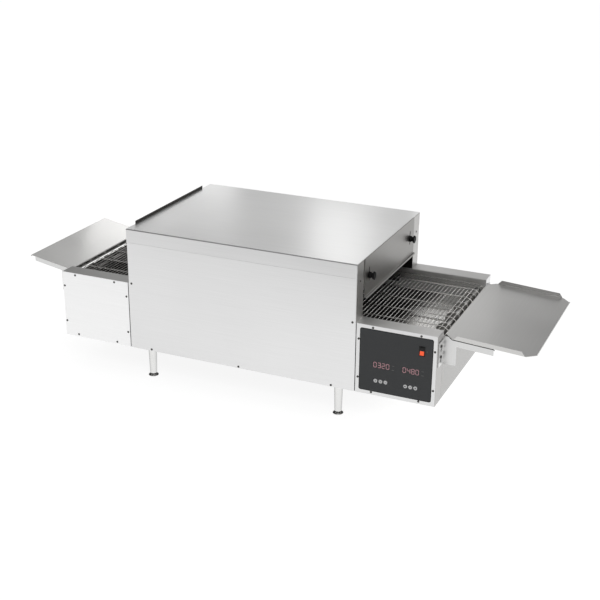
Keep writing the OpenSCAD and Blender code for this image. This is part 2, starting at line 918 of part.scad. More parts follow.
module idler_shaft() {
  reach = chamber_y + sheet + bearing_l + 3;
  color("silver") bar_y(shaft_r, shaft_x0, shaft_z, -reach, reach);
}

top_cover();
front_panel();
rear_panel();
left_end_wall();
right_end_wall();
base_pan();
infeed_front_panel();
control_panel();
housing_rear_panels();
housing_end_panels();
front_rail();
rear_rail();
deck_pan();
belt_skids();
chamber_roof();
chamber_side_liners();
insulation();
upper_heaters();
lower_heaters();
thermocouple();
control_overlay();
display_windows();
rocker_bezel();
control_board();
power_relays();
gearmotor();
shaft_bearings();
cord_gland();
legs();
hanger_screws();
panel_screws();
key(0);  // key_1
key(1);  // key_2
key(2);  // key_3
key(3);  // key_4
key(4);  // key_5
key(5);  // key_6
power_rocker();
right_baffle();
left_baffle();
at_right_end() knob(-knob_y);  // right_front_knob
at_right_end() knob(knob_y);  // right_rear_knob
at_left_end() knob(-knob_y);  // left_front_knob
at_left_end() knob(knob_y);  // left_rear_knob
exit_tray();
exit_brackets();
infeed_shelf();
infeed_brackets();
foot(leg_xs[0], front + leg_in_y);  // front_left_foot
foot(leg_xs[1], front + leg_in_y);  // front_right_foot
foot(leg_xs[0], back - leg_in_y);  // rear_left_foot
foot(leg_xs[1], back - leg_in_y);  // rear_right_foot
belt_top_run();
belt_bottom_run();
drive_shaft();
drive_sprockets();
drive_wrap();
idler_shaft();
idler_sprockets();
idler_wrap();
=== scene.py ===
"""Dresses the counter-top conveyor oven: steel finishes, wire belt, controls, fittings and a plain studio."""
import json
import logging
import math
from dataclasses import dataclass, field
from enum import Enum
from typing import Iterable, Protocol, Sequence

import bmesh
import bpy
from mathutils import Matrix, Vector


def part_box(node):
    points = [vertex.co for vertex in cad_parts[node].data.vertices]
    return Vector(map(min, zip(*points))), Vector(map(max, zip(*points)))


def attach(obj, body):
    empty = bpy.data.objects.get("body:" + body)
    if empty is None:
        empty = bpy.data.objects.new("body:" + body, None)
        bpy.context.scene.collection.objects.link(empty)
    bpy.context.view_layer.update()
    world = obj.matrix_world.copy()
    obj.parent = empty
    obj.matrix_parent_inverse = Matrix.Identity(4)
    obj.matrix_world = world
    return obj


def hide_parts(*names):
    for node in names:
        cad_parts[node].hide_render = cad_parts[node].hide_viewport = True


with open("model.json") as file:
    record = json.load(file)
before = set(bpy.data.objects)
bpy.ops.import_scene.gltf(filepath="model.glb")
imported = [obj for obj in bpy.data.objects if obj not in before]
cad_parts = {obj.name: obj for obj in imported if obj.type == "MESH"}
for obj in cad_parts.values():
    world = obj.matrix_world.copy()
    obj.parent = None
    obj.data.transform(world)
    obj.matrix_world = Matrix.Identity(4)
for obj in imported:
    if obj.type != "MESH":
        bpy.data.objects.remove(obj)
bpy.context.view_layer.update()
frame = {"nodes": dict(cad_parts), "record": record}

LOG = logging.getLogger("conveyor_oven")
MM = 0.001
WELD = 0.002 * MM
RECORD = frame["record"]
SLOTS: dict[str, str] = {part["node"]: part["material_slot"] for part in RECORD["subparts"]}
BODIES: dict[str, str] = {
    node: body for body, nodes in RECORD["behaviour"]["bodies"].items() for node in nodes
}

Socket, Node, Material, Mesh = (
    bpy.types.NodeSocket, bpy.types.Node, bpy.types.Material, bpy.types.Mesh
)
BMesh = bmesh.types.BMesh
Pair = tuple[float, float]
Point = tuple[float, float, float]
Colour = tuple[float, float, float]


class Grain(Enum):
    """The way a sheet was brushed, as the grain's lines per metre along X, Y and Z."""

    ALONG_X = (5.0, 520.0, 520.0)
    ALONG_Y = (520.0, 5.0, 520.0)
    ALONG_Z = (520.0, 520.0, 5.0)


@dataclass(frozen=True)
class GroupPlan:
    """What one shared shader group is made of: a texture, read as a tone and as a second output."""

    name: str
    inputs: tuple[str, ...]
    second: str
    texture: str
    measure: str
    settings: tuple[tuple[str, str], ...] = ()
    constants: tuple[tuple[str, float], ...] = ()


class Effect(Enum):
    """The shared groups: long fine scratches, the clouds of wiped steel and the grain of mouldings."""

    GRAIN = GroupPlan(
        "brushed_grain", ("Lines", "Depth"), "Height", "ShaderNodeTexNoise", "Fac",
        constants=(("Scale", 1.0), ("Detail", 4.0), ("Roughness", 0.65)),
    )
    MARKS = GroupPlan(
        "handling_marks", ("Scale", "Depth", "Rough"), "Roughness", "ShaderNodeTexNoise", "Fac",
        constants=(("Detail", 2.0),),
    )
    SPECKLE = GroupPlan(
        "moulded_speckle", ("Scale", "Depth"), "Height", "ShaderNodeTexVoronoi", "Distance",
        settings=(("feature", "SMOOTH_F1"),),
    )


class Curve(Enum):
    """How a mapped value goes from one end of its range to the other."""

    EVEN = "LINEAR"
    SOFT = "SMOOTHSTEP"


@dataclass
class Wiring:
    """Adds nodes and links to one node tree."""

    tree: bpy.types.NodeTree

    def node(self, kind: str, **settings: object) -> Node:
        """Adds a node.

        Args:
            kind: Blender's name of the node type.
            settings: properties of the node, by name.

        Returns:
            The new node.
        """
        made = self.tree.nodes.new(kind)
        for key, value in settings.items():
            setattr(made, key, value)
        return made

    def feed(self, target: Socket, source: object) -> None:
        """Links a socket to the target, or sets the target to a constant.

        Args:
            target: the input socket.
            source: an output socket, or the constant value.
        """
        if isinstance(source, Socket):
            self.tree.links.new(source, target)
        else:
            target.default_value = source

    def math(self, operation: str, first: object, second: object) -> Socket:
        """Adds a Math node.

        Args:
            operation: the operation's name.
            first: first input, a socket or a number.
            second: second input, a socket or a number.

        Returns:
            The node's output.
        """
        made = self.node("ShaderNodeMath", operation=operation)
        self.feed(made.inputs[0], first)
        self.feed(made.inputs[1], second)
        return made.outputs[0]

    def spread(
        self, value: object, low: object, high: object, ends: Pair = (0.0, 1.0), curve: Curve = Curve.EVEN
    ) -> Socket:
        """Maps one range of values onto another.

        Args:
            value: the value to map.
            low: result at the first end.
            high: result at the second end.
            ends: values at which the result is low and high.
            curve: how the result goes between them.

        Returns:
            The mapped value.
        """
        made = self.node("ShaderNodeMapRange", interpolation_type=curve.value)
        names = ("Value", "From Min", "From Max", "To Min", "To Max")
        for name, source in zip(names, (value, *ends, low, high)):
            self.feed(made.inputs[name], source)
        return made.outputs["Result"]

    def along(self, place: str, direction: Point) -> Socket:
        """Measures how far a place lies along a direction.

        Args:
            place: name of the texture coordinate.
            direction: the direction.

        Returns:
            The distance.
        """
        made = self.node("ShaderNodeVectorMath", operation="DOT_PRODUCT")
        self.feed(made.inputs[0], self.node("ShaderNodeTexCoord").outputs[place])
        self.feed(made.inputs[1], direction)
        return made.outputs["Value"]

    def tint(self, share: object, first: object, second: object, blend: str = "MIX") -> Socket:
        """Mixes two colours.

        Args:
            share: share of the second colour.
            first: first colour.
            second: second colour.
            blend: the blend type.

        Returns:
            The mixed colour.
        """
        made = self.node("ShaderNodeMix", data_type="RGBA", blend_type=blend)
        self.feed(made.inputs[0], share)
        self.feed(made.inputs[6], first)
        self.feed(made.inputs[7], second)
        return made.outputs[2]

    def effect(self, effect: Effect, **values: object) -> Node:
        """Places a shared effect in this tree.

        Args:
            effect: which group to place.
            values: constants for the group's inputs, by name.

        Returns:
            The group node.
        """
        made = self.node("ShaderNodeGroup", node_tree=shared_group(effect.value))
        for key, value in values.items():
            made.inputs[key].default_value = value
        return made


def shared_group(plan: GroupPlan) -> bpy.types.NodeTree:
    """Builds a shared shader group at the first call and keeps it.

    Args:
        plan: what the group is made of.

    Returns:
        The group. It puts out a tone around 1, and a height or an uneven roughness.
    """
    known = bpy.data.node_groups.get(plan.name)
    if known:
        return known
    tree = bpy.data.node_groups.new(plan.name, "ShaderNodeTree")
    for way, names in (("INPUT", plan.inputs), ("OUTPUT", ("Tone", plan.second))):
        for name in names:
            kind = "NodeSocketVector" if name == "Lines" else "NodeSocketFloat"
            tree.interface.new_socket(name=name, in_out=way, socket_type=kind)
    wires = Wiring(tree)
    given = wires.node("NodeGroupInput").outputs
    result = wires.node("NodeGroupOutput").inputs
    place = wires.node("ShaderNodeTexCoord").outputs["Object"]
    if "Lines" in plan.inputs:
        stretch = wires.node("ShaderNodeMapping", vector_type="POINT")
        wires.feed(stretch.inputs["Vector"], place)
        wires.feed(stretch.inputs["Scale"], given["Lines"])
        place = stretch.outputs["Vector"]
    texture = wires.node(plan.texture, **dict(plan.settings))
    wires.feed(texture.inputs["Vector"], place)
    for name, value in plan.constants:
        wires.feed(texture.inputs[name], value)
    if "Scale" in plan.inputs:
        wires.feed(texture.inputs["Scale"], given["Scale"])
    measure = texture.outputs[plan.measure]
    low = wires.math("SUBTRACT", 1.0, given["Depth"])
    high = wires.math("ADD", 1.0, given["Depth"])
    wires.feed(result["Tone"], wires.spread(measure, low, high))
    if "Rough" in plan.inputs:
        smooth = wires.math("MULTIPLY", given["Rough"], 0.8)
        dull = wires.math("MULTIPLY", given["Rough"], 1.2)
        measure = wires.spread(measure, smooth, dull)
    wires.feed(result[plan.second], measure)
    return tree


class Surface:
    """A material in the making: one surface shader, with soft clouds in its tone and roughness."""

    def __init__(
        self, name: str, rough: float, cloud_scale: float, cloud_depth: float, metal: float = 1.0
    ) -> None:
        """Starts the material.

        Args:
            name: the material's name.
            rough: mean roughness.
            cloud_scale: clouds per metre.
            cloud_depth: how far the clouds change the tone.
            metal: the metal share.
        """
        self.material = bpy.data.materials.new(name)
        self.material.use_nodes = True
        self.wires = Wiring(self.material.node_tree)
        self.shader = self.material.node_tree.nodes["Principled BSDF"]
        clouds = self.wires.effect(Effect.MARKS, Scale=cloud_scale, Depth=cloud_depth, Rough=rough)
        self.cloud_tone = clouds.outputs["Tone"]
        self.put("Roughness", clouds.outputs["Roughness"])
        self.put("Metallic", metal)

    def put(self, name: str, source: object) -> None:
        """Links or sets one input of the surface shader."""
        self.wires.feed(self.shader.inputs[name], source)

    def shade(self, colour: Colour, *tones: Socket) -> Socket:
        """Multiplies a colour by the clouds' tone and by others.

        Args:
            colour: the plain colour.
            tones: grey factors around 1.

        Returns:
            The shaded colour.
        """
        shaded: object = (*colour, 1.0)
        for tone in (*tones, self.cloud_tone):
            shaded = self.wires.tint(1.0, shaded, tone, "MULTIPLY")
        return shaded

    def raise_height(self, height: Socket, depth: float, share: float) -> None:
        """Gives the surface a bump.

        Args:
            height: the height, 0 to 1.
            depth: how far the height reaches, in metres.
            share: share of the bump that is used.
        """
        bump = self.wires.node("ShaderNodeBump")
        bump.inputs["Strength"].default_value = share
        bump.inputs["Distance"].default_value = depth
        self.wires.feed(bump.inputs["Height"], height)
        self.put("Normal", bump.outputs["Normal"])


class Finish(Protocol):
    """Anything that can be made into a material."""

    name: str

    def make(self) -> Material:
        """Gives the material."""


@dataclass(frozen=True)
class BrushedSteel:
    """Stainless sheet with a brushed grain and the clouds that wiping leaves."""

    name: str
    tone: Colour
    grain: Grain = Grain.ALONG_X
    rough: float = 0.3
    cloud_scale: float = 4.0
    cloud_depth: float = 0.04
    grain_depth: float = 0.06
    scratch_depth: float = 0.02 * MM
    scratch_share: float = 0.25

    def colour(self, surface: Surface, grain_tone: Socket) -> Socket:
        """Gives the sheet's colour under its grain and clouds."""
        return surface.shade(self.tone, grain_tone)

    def make(self) -> Material:
        """Makes the finish.

        Returns:
            The material.
        """
        surface = Surface(self.name, self.rough, self.cloud_scale, self.cloud_depth)
        grain = surface.wires.effect(Effect.GRAIN, Lines=self.grain.value, Depth=self.grain_depth)
        surface.put("Base Color", self.colour(surface, grain.outputs["Tone"]))
        surface.raise_height(grain.outputs["Height"], self.scratch_depth, self.scratch_share)
        return surface.material


@dataclass(frozen=True)
class InwardShadedSteel(BrushedSteel):
    """Brushed steel with painted shade: the side that faces into the oven is painted near black."""

    grain: Grain = Grain.ALONG_Y
    rough: float = 0.36
    cloud_scale: float = 5.0
    cloud_depth: float = 0.06
    inward_shade: Colour = (0.05, 0.048, 0.046)
    inward: float = 1.0

    def colour(self, surface: Surface, grain_tone: Socket) -> Socket:
        """Gives painted shade on the inward side and the sheet's own colour elsewhere.

        Args:
            surface: the material in the making.
            grain_tone: the grain's tone.

        Returns:
            The colour.
        """
        wires = surface.wires
        axes = wires.node("ShaderNodeSeparateXYZ")
        wires.feed(axes.inputs[0], wires.node("ShaderNodeNewGeometry").outputs["True Normal"])
        side = wires.math("GREATER_THAN", wires.math("MULTIPLY", axes.outputs["X"], self.inward), 0.5)
        # Painted shade: faces turned towards the oven's inside take the near-black colour.
        return wires.tint(side, surface.shade(self.tone, grain_tone), (*self.inward_shade, 1.0))


@dataclass(frozen=True)
class HeatTintAndShadeSteel(BrushedSteel):
    """Steel with painted shade and some heat tint: darker in and near the tunnel, lighter again towards +X.

    A lean makes the darker area reach further along X at the back of the oven than at its front.
    """

    cloud_scale: float = 9.0
    cloud_depth: float = 0.2
    tint_and_shade: Colour = (0.1, 0.1, 0.1)
    fade_span: Pair = (0.0, 0.4)
    lean: float = 0.0

    def colour(self, surface: Surface, grain_tone: Socket) -> Socket:
        """Gives a colour that goes from painted shade and tint to the sheet's own colour.

        Args:
            surface: the material in the making.
            grain_tone: the grain's tone.

        Returns:
            The colour.
        """
        # Painted shade with some heat tint: the colour darkens away from +X.
        along = surface.wires.along("Object", (1.0, -self.lean, 0.0))
        share = surface.wires.spread(along, 0.0, 1.0, self.fade_span, Curve.SOFT)
        tint_and_shade = surface.shade(self.tint_and_shade, grain_tone)
        return surface.wires.tint(share, tint_and_shade, surface.shade(self.tone, grain_tone))


@dataclass(frozen=True)
class DrawnWire:
    """Drawn or turned metal with a fine even grain."""

    name: str
    tone: Colour
    rough: float = 0.25
    speckle: float = 900.0
    speckle_depth: float = 0.06
    cloud_scale: float = 30.0
    cloud_depth: float = 0.12

    def make(self) -> Material:
        """Makes the finish.

        Returns:
            The material.
        """
        surface = Surface(self.name, self.rough, self.cloud_scale, self.cloud_depth)
        pores = surface.wires.effect(Effect.SPECKLE, Scale=self.speckle, Depth=self.speckle_depth)
        surface.put("Base Color", surface.shade(self.tone, pores.outputs["Tone"]))
        return surface.material


@dataclass(frozen=True)
class PolishedTube:
    """Bright turned metal whose flanks, seen at a grazing angle, are painted dark as a reflection of the dark
    of the room.
    """

    name: str
    tone: Colour
    flank_reflection: Colour
    rough: float = 0.12
    cloud_scale: float = 30.0
    cloud_depth: float = 0.06

    def make(self) -> Material:
        """Makes the finish.

        Returns:
            The material.
        """
        surface = Surface(self.name, self.rough, self.cloud_scale, self.cloud_depth)
        # Painted reflection: the colour turns to the dark flank colour at grazing angles.
        turning = surface.wires.node("ShaderNodeLayerWeight")
        turning.inputs["Blend"].default_value = 0.5
        edge = surface.wires.math("POWER", turning.outputs["Facing"], 2.0)
        surface.put("Base Color", surface.wires.tint(edge, surface.shade(self.tone), (*self.flank_reflection, 1.0)))
        return surface.material


@dataclass(frozen=True)
class Moulding:
    """Plastic, paint, film, iron or wool: a solid colour with a fine surface grain."""

    name: str
    tone: Colour
    rough: float = 0.45
    speckle: float = 1500.0
    tone_depth: float = 0.06
    bump_depth: float = 0.04 * MM
    metal: float = 0.0
    shine: float = 0.5
    cloud_scale: float = 12.0
    bump_share: float = 0.4

    def make(self) -> Material:
        """Makes the finish.

        Returns:
            The material.
        """
        surface = Surface(self.name, self.rough, self.cloud_scale, self.tone_depth, self.metal)
        pores = surface.wires.effect(Effect.SPECKLE, Scale=self.speckle, Depth=self.tone_depth)
        surface.put("Base Color", surface.shade(self.tone, pores.outputs["Tone"]))
        surface.put("Specular IOR Level", self.shine)
        surface.raise_height(pores.outputs["Height"], self.bump_depth, self.bump_share)
        return surface.material


@dataclass(frozen=True)
class LitLens:
    """A lamp lens or a lit digit: a gloss surface that glows, a little unevenly."""

    name: str
    tone: Colour
    glow: Colour
    strength: float = 0.6
    rough: float = 0.2
    cloud_scale: float = 160.0
    cloud_depth: float = 0.15

    def make(self) -> Material:
        """Makes the finish.

        Returns:
            The material.
        """
        surface = Surface(self.name, self.rough, self.cloud_scale, self.cloud_depth, metal=0.0)
        surface.put("Base Color", surface.shade(self.tone))
        surface.put("Emission Color", surface.shade(self.glow))
        surface.put("Emission Strength", self.strength)
        return surface.material


# One stainless steel in lit and shaded copies: each tone is painted light or shade for the faces it goes on,
# darker on flanges, ends, trays and baffles, brighter on the infeed and end panels.
SHEET_FINISHES: tuple[Finish, ...] = (
    BrushedSteel("panel_steel", (0.79, 0.79, 0.79), rough=0.32, cloud_depth=0.10, cloud_scale=2.2),
    BrushedSteel("band_steel", (0.75, 0.75, 0.75), rough=0.32),
    BrushedSteel("flange_steel", (0.47, 0.465, 0.455), Grain.ALONG_Z, rough=0.33),
    BrushedSteel("end_panel_steel", (0.93, 0.93, 0.93), rough=0.34),
    BrushedSteel("control_panel_steel", (0.76, 0.76, 0.76), rough=0.34),
    BrushedSteel("roof_steel", (0.82, 0.82, 0.815), rough=0.305, cloud_depth=0.10, cloud_scale=2.4),
    BrushedSteel("end_steel", (0.39, 0.386, 0.377), Grain.ALONG_Y, rough=0.235),
    BrushedSteel(
        "tray_steel", (0.70, 0.695, 0.683), Grain.ALONG_Y, rough=0.24, cloud_depth=0.14, cloud_scale=3.0
    ),
    BrushedSteel(
        "exit_tray_steel", (0.645, 0.64, 0.628), Grain.ALONG_Y, rough=0.31, cloud_depth=0.16, cloud_scale=3.0
    ),
    BrushedSteel("bracket_steel", (0.72, 0.72, 0.715), Grain.ALONG_Z, rough=0.32),
    # Painted shade with some heat tint: the liner is near black inside the tunnel.
    BrushedSteel("liner_steel", (0.06, 0.057, 0.054), Grain.ALONG_Z, rough=0.45),
    InwardShadedSteel("baffle_steel", (0.28, 0.274, 0.265), inward=-1.0),
    InwardShadedSteel("infeed_baffle_steel", (0.28, 0.274, 0.265), inward=1.0),
    # Painted shade with some heat tint: the rails and the deck are darker in and near the tunnel.
    HeatTintAndShadeSteel(
        "rail_steel", (0.66, 0.655, 0.645), rough=0.5, tint_and_shade=(0.46, 0.456, 0.448), fade_span=(-0.44, 0.33)
    ),
    HeatTintAndShadeSteel(
        "front_rail_steel", (0.78, 0.774, 0.762), rough=0.5, tint_and_shade=(0.41, 0.406, 0.399),
        fade_span=(-0.44, 0.33),
    ),
    HeatTintAndShadeSteel(
        "deck_steel", (0.92, 0.91, 0.89), rough=0.24, tint_and_shade=(0.014, 0.013, 0.012), fade_span=(0.36, 0.47),
        lean=0.15,
    ),
)
FITTING_FINISHES: tuple[Finish, ...] = (
    # Painted shade: the return run's wires, the sprockets and the shafts are darker away from the exit end,
    # where the belt and the tunnel shade them.
    HeatTintAndShadeSteel(
        "return_wire", (0.70, 0.69, 0.67), rough=0.35, tint_and_shade=(0.07, 0.066, 0.062), fade_span=(0.39, 0.48)
    ),
    HeatTintAndShadeSteel("sprocket_steel", (0.42, 0.41, 0.40), rough=0.38, tint_and_shade=(0.11, 0.106, 0.10)),
    HeatTintAndShadeSteel("shaft_steel", (0.62, 0.615, 0.60), rough=0.32, tint_and_shade=(0.22, 0.216, 0.21)),
    DrawnWire("heater_sheath", (0.14, 0.13, 0.12), rough=0.45),
    DrawnWire("belt_wire", (0.94, 0.925, 0.90), rough=0.22),
    DrawnWire("screw_steel", (0.11, 0.106, 0.10), rough=0.35),
    DrawnWire("relay_metal", (0.60, 0.60, 0.60), rough=0.4),
    PolishedTube("leg_steel", (0.80, 0.80, 0.79), (0.07, 0.07, 0.07)),
    PolishedTube("foot_steel", (0.72, 0.72, 0.71), (0.015, 0.015, 0.015), rough=0.18),
    Moulding("wool", (0.62, 0.57, 0.42), 0.95, 420.0, 0.2, 0.6 * MM),
    Moulding("bearing_iron", (0.12, 0.12, 0.125), 0.55, 700.0, 0.1, 0.1 * MM, metal=0.6),
    Moulding("motor_paint", (0.06, 0.09, 0.14), 0.35, 900.0),
    Moulding("overlay_charcoal", (0.088, 0.091, 0.094), 0.5, 2600.0, 0.05, 0.01 * MM, shine=0.2),
    Moulding("display_tint", (0.066, 0.064, 0.065), 0.3, 3000.0, 0.03, 0.0, shine=0.25),
    Moulding("key_white", (0.95, 0.95, 0.95), 0.5, 2600.0, 0.03, 0.01 * MM),
    Moulding("bezel_black", (0.006, 0.006, 0.006), 0.3, 2000.0, 0.05, 0.01 * MM, shine=0.3),
    Moulding("board_green", (0.02, 0.10, 0.05), 0.4, 600.0, 0.2),
    Moulding("gland_black", (0.02, 0.02, 0.02), 0.5),
    Moulding("knob_black", (0.010, 0.010, 0.010), 0.5, 1800.0, shine=0.12),
    Moulding("print_grey", (0.22, 0.22, 0.22), 0.5, 2600.0, 0.04, 0.0, shine=0.2),
    Moulding("print_dark", (0.012, 0.012, 0.012), 0.5, 2600.0, 0.04, 0.0, shine=0.2),
    # Painted shadow: the black of the strips under the exit tray's edges.
    Moulding("tray_shadow_black", (0.012, 0.012, 0.012), 0.55, shine=0.3),
    LitLens("rocker_orange", (0.85, 0.12, 0.04), (1.0, 0.12, 0.05)),
    LitLens("digit_red", (0.24, 0.15, 0.16), (0.44, 0.22, 0.25)),
)


class Paintbox:
    """Holds every finish's material by name."""

    def __init__(self, finishes: Iterable[Finish]) -> None:
        """Makes each material once."""
        self.materials = {finish.name: finish.make() for finish in finishes}

    def coat_node(self, node: str, finish: str) -> None:
        """Gives a CAD node its finish.

        Args:
            node: the node's name.
            finish: the finish's name.
        """
        slots = frame["nodes"][node].data.materials
        slots.clear()
        slots.append(self.materials[finish])

    def second_finish(self, mesh: Mesh, finish: str, chosen: Iterable[bool]) -> None:
        """Gives some faces of a piece a second finish.

        Args:
            mesh: the piece's mesh.
            finish: the second finish's name.
            chosen: for each face, whether it gets that finish.
        """
        mesh.materials.append(self.materials[finish])
        for face, change in zip(mesh.polygons, chosen):
            face.material_index = int(change)


def circle(steps: int) -> list[Pair]:
    """Gives the points of a circle of radius 1."""
    return [(math.cos(2 * math.pi * i / steps), math.sin(2 * math.pi * i / steps)) for i in range(steps)]


def welded(node: str) -> BMesh:
    """Copies a CAD node's mesh and joins the points that coincide.

    Args:
        node: the node's name.

    Returns:
        The copy.
    """
    work = bmesh.new()
    work.from_mesh(frame["nodes"][node].data)
    bmesh.ops.remove_doubles(work, verts=work.verts, dist=WELD)
    return work


def settled(work: BMesh, name: str) -> Mesh:
    """Turns the faces of a mesh outward and keeps it.

    Args:
        work: the mesh in the making, which is freed.
        name: the new mesh's name.

    Returns:
        The new mesh.
    """
    made = bpy.data.meshes.new(name)
    bmesh.ops.recalc_face_normals(work, faces=work.faces)
    work.to_mesh(made)
    work.free()
    return made


@dataclass
class Shape:
    """Collects the points and faces of one piece."""

    points: list[Vector] = field(default_factory=list)
    faces: list[tuple[int, ...]] = field(default_factory=list)

    def band(self, here: int, there: int, count: int) -> None:
        """Joins two rings of points by a band of faces.

        Args:
            here: index of the first ring's first point.
            there: index of the second ring's first point.
            count: points in a ring.
        """
        for i in range(count):
            j = (i + 1) % count
            self.faces.append((here + i, here + j, there + j, there + i))

    def skin(self, rings: Sequence[Sequence[Vector]]) -> None:
        """Joins a row of equal rings into a closed form with capped ends.

        Args:
            rings: rings of equal length, in order.
        """
        start, count = len(self.points), len(rings[0])
        last = start + (len(rings) - 1) * count
        for ring in rings:
            self.points.extend(ring)
        for base in range(start, last, count):
            self.band(base, base + count, count)
        self.faces.append(tuple(range(start + count - 1, start - 1, -1)))
        self.faces.append(tuple(range(last, last + count)))

    def tube(self, path: Sequence[Vector], radius: float, sides: int = 6) -> None:
        """Sweeps a round wire along a path.

        Args:
            path: points of the centre line.
            radius: the wire's radius.
            sides: sides of its section.
        """
        rings = []
        side = None
        for i, point in enumerate(path):
            before, after = path[max(i - 1, 0)], path[min(i + 1, len(path) - 1)]
            tangent = (after - before).normalized()
            if side is None:
                side = tangent.orthogonal()
            side = (side - tangent * side.dot(tangent)).normalized()
            other = tangent.cross(side)
            rings.append([point + radius * (x * side + y * other) for x, y in circle(sides)])
        self.skin(rings)

    def turned(
        self, profile: Sequence[Pair], place: Matrix, steps: int,
        lobes: int = 0, lobe_heights: Sequence[float] = (),
    ) -> None:
        """Turns a profile round the local Z axis, with lobes if wanted.

        Args:
            profile: radius and height of each ring.
            place: where the local axis stands.
            steps: points in a ring.
            lobes: lobes round a ring.
            lobe_heights: height of the lobes at each ring.
        """
        rings = []
        for (radius, height), lobe in zip(profile, lobe_heights or [0.0] * len(profile)):
            ring = []
            for i, (x, y) in enumerate(circle(steps)):
                reach = radius + lobe * math.cos(lobes * 2 * math.pi * i / steps)
                ring.append(place @ Vector((reach * x, reach * y, height)))
            rings.append(ring)
        self.skin(rings)

    def plate(self, outline: Sequence[Pair], place: Matrix, low: float, high: float) -> None:
        """Extrudes an outline in the local X and Y along the local Z axis, from low to high."""
        self.skin([[place @ Vector((x, y, z)) for x, y in outline] for z in (low, high)])

    def frame_plate(self, outer: Sequence[Pair], inner: Sequence[Pair], place: Matrix, high: float) -> None:
        """Extrudes the band between two outlines of equal length.

        Args:
            outer: outer outline.
            inner: inner outline.
            place: where the local frame stands.
            high: the band's height.
        """
        start, count = len(self.points), len(outer)
        loops = ((outer, 0.0), (outer, high), (inner, high), (inner, 0.0))
        for k, (outline, z) in enumerate(loops, 1):
            self.points.extend(place @ Vector((x, y, z)) for x, y in outline)
            self.band(start + (k - 1) * count, start + k % len(loops) * count, count)

    def mesh(self, name: str) -> Mesh:
        """Makes the mesh, with its faces turned outward.

        Args:
            name: the mesh's name.

        Returns:
            The new mesh.
        """
        rough = bpy.data.meshes.new(f"{name}_rough")
        rough.from_pydata([tuple(p) for p in self.points], [], self.faces)
        work = bmesh.new()
        work.from_mesh(rough)
        bpy.data.meshes.remove(rough)
        return settled(work, name)


def flatten_shading(mesh: Mesh, sharp: float) -> None:
    """Lets large faces keep their own normal, so that only the small faces of bends shade round.

    Args:
        mesh: the mesh to change.
        sharp: faces that turn more than this angle, in radians, don't blend.
    """
    limit = math.cos(sharp)
    normals = [face.normal.copy() for face in mesh.polygons]
    areas = [face.area for face in mesh.polygons]
    around: list[list[int]] = [[] for _ in mesh.vertices]
    for face in mesh.polygons:
        for vertex in face.vertices:
            around[vertex].append(face.index)
    corners: list[Vector] = []
    for face in mesh.polygons:
        own = normals[face.index]
        for vertex in face.vertices:
            blend = Vector()
            for other in around[vertex]:
                if own.dot(normals[other]) > limit:
                    blend += areas[other] * normals[other]
            corners.append(blend.normalized() if blend.length > 0.0 else own)
    mesh.normals_split_custom_set(corners)


def middle(node: str) -> Vector:
    """Gives the middle of a CAD node's box."""
    return sum(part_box(node), Vector()) / 2


def add_object(name: str, data: bpy.types.ID) -> bpy.types.Object:
    """Makes an object and puts it into the scene.

    Args:
        name: the object's name.
        data: its mesh, camera or lamp.

    Returns:
        The new object.
    """
    made = bpy.data.objects.new(name, data)
    bpy.context.scene.collection.objects.link(made)
    return made


def place_piece(
    mesh: Mesh, paint: Paintbox, finish: str, body: str,
    replaced: Sequence[str] = (), sharp: float = 35.0,
) -> None:
    """Puts a finished mesh into the scene, on its body.

    Args:
        mesh: the piece's mesh; its name is the piece's name.
        paint: the materials.
        finish: the finish's name.
        body: the CAD body that carries the piece.
        replaced: CAD nodes that the piece stands for.
        sharp: edges that turn more than this many degrees stay crisp.
    """
    piece = add_object(mesh.name, mesh)
    mesh.materials.append(paint.materials[finish])
    mesh.polygons.foreach_set("use_smooth", [True] * len(mesh.polygons))
    mesh.set_sharp_from_angle(angle=math.radians(sharp))
    flatten_shading(mesh, math.radians(sharp))
    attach(piece, body)
    if replaced:
        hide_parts(*replaced)
    LOG.info("%s: %d faces on %s", piece.name, len(mesh.polygons), body)


def stand_in(mesh: Mesh, paint: Paintbox, finish: str, node: str, sharp: float = 35.0) -> None:
    """Puts a finished mesh into the scene in place of one CAD node, on that node's body."""
    place_piece(mesh, paint, finish, BODIES[node], [node], sharp)


def rounded(x: Pair, y: Pair, r: float, steps: int = 6) -> list[Pair]:
    """The outline of a rectangle with round corners.

    Args:
        x: lowest and highest X.
        y: lowest and highest Y.
        r: corner radius.
        steps: steps along each corner.

    Returns:
        The outline's points.
    """
    left, right, bottom, top = x[0] + r, x[1] - r, y[0] + r, y[1] - r
    points = []
    for quarter, (cx, cy) in enumerate(((right, top), (left, top), (left, bottom), (right, bottom))):
        for i in range(steps + 1):
            a = math.pi / 2 * (quarter + i / steps)
            points.append((cx + r * math.cos(a), cy + r * math.sin(a)))
    return points


def facing_front(x: float, y: float, z: float) -> Matrix:
    """A frame on a front face: local X to the right, local Y up, local Z towards the viewer."""
    return Matrix.Translation((x, y, z)) @ Matrix.Rotation(math.pi / 2, 4, "X")


def facing_side(x: float, y: float, z: float, outward: float) -> Matrix:
    """A frame on an end face: local Z points outward along X, which is 1 towards +X and -1 towards -X."""
    return Matrix.Translation((x, y, z)) @ Matrix.Rotation(outward * math.pi / 2, 4, "Y")


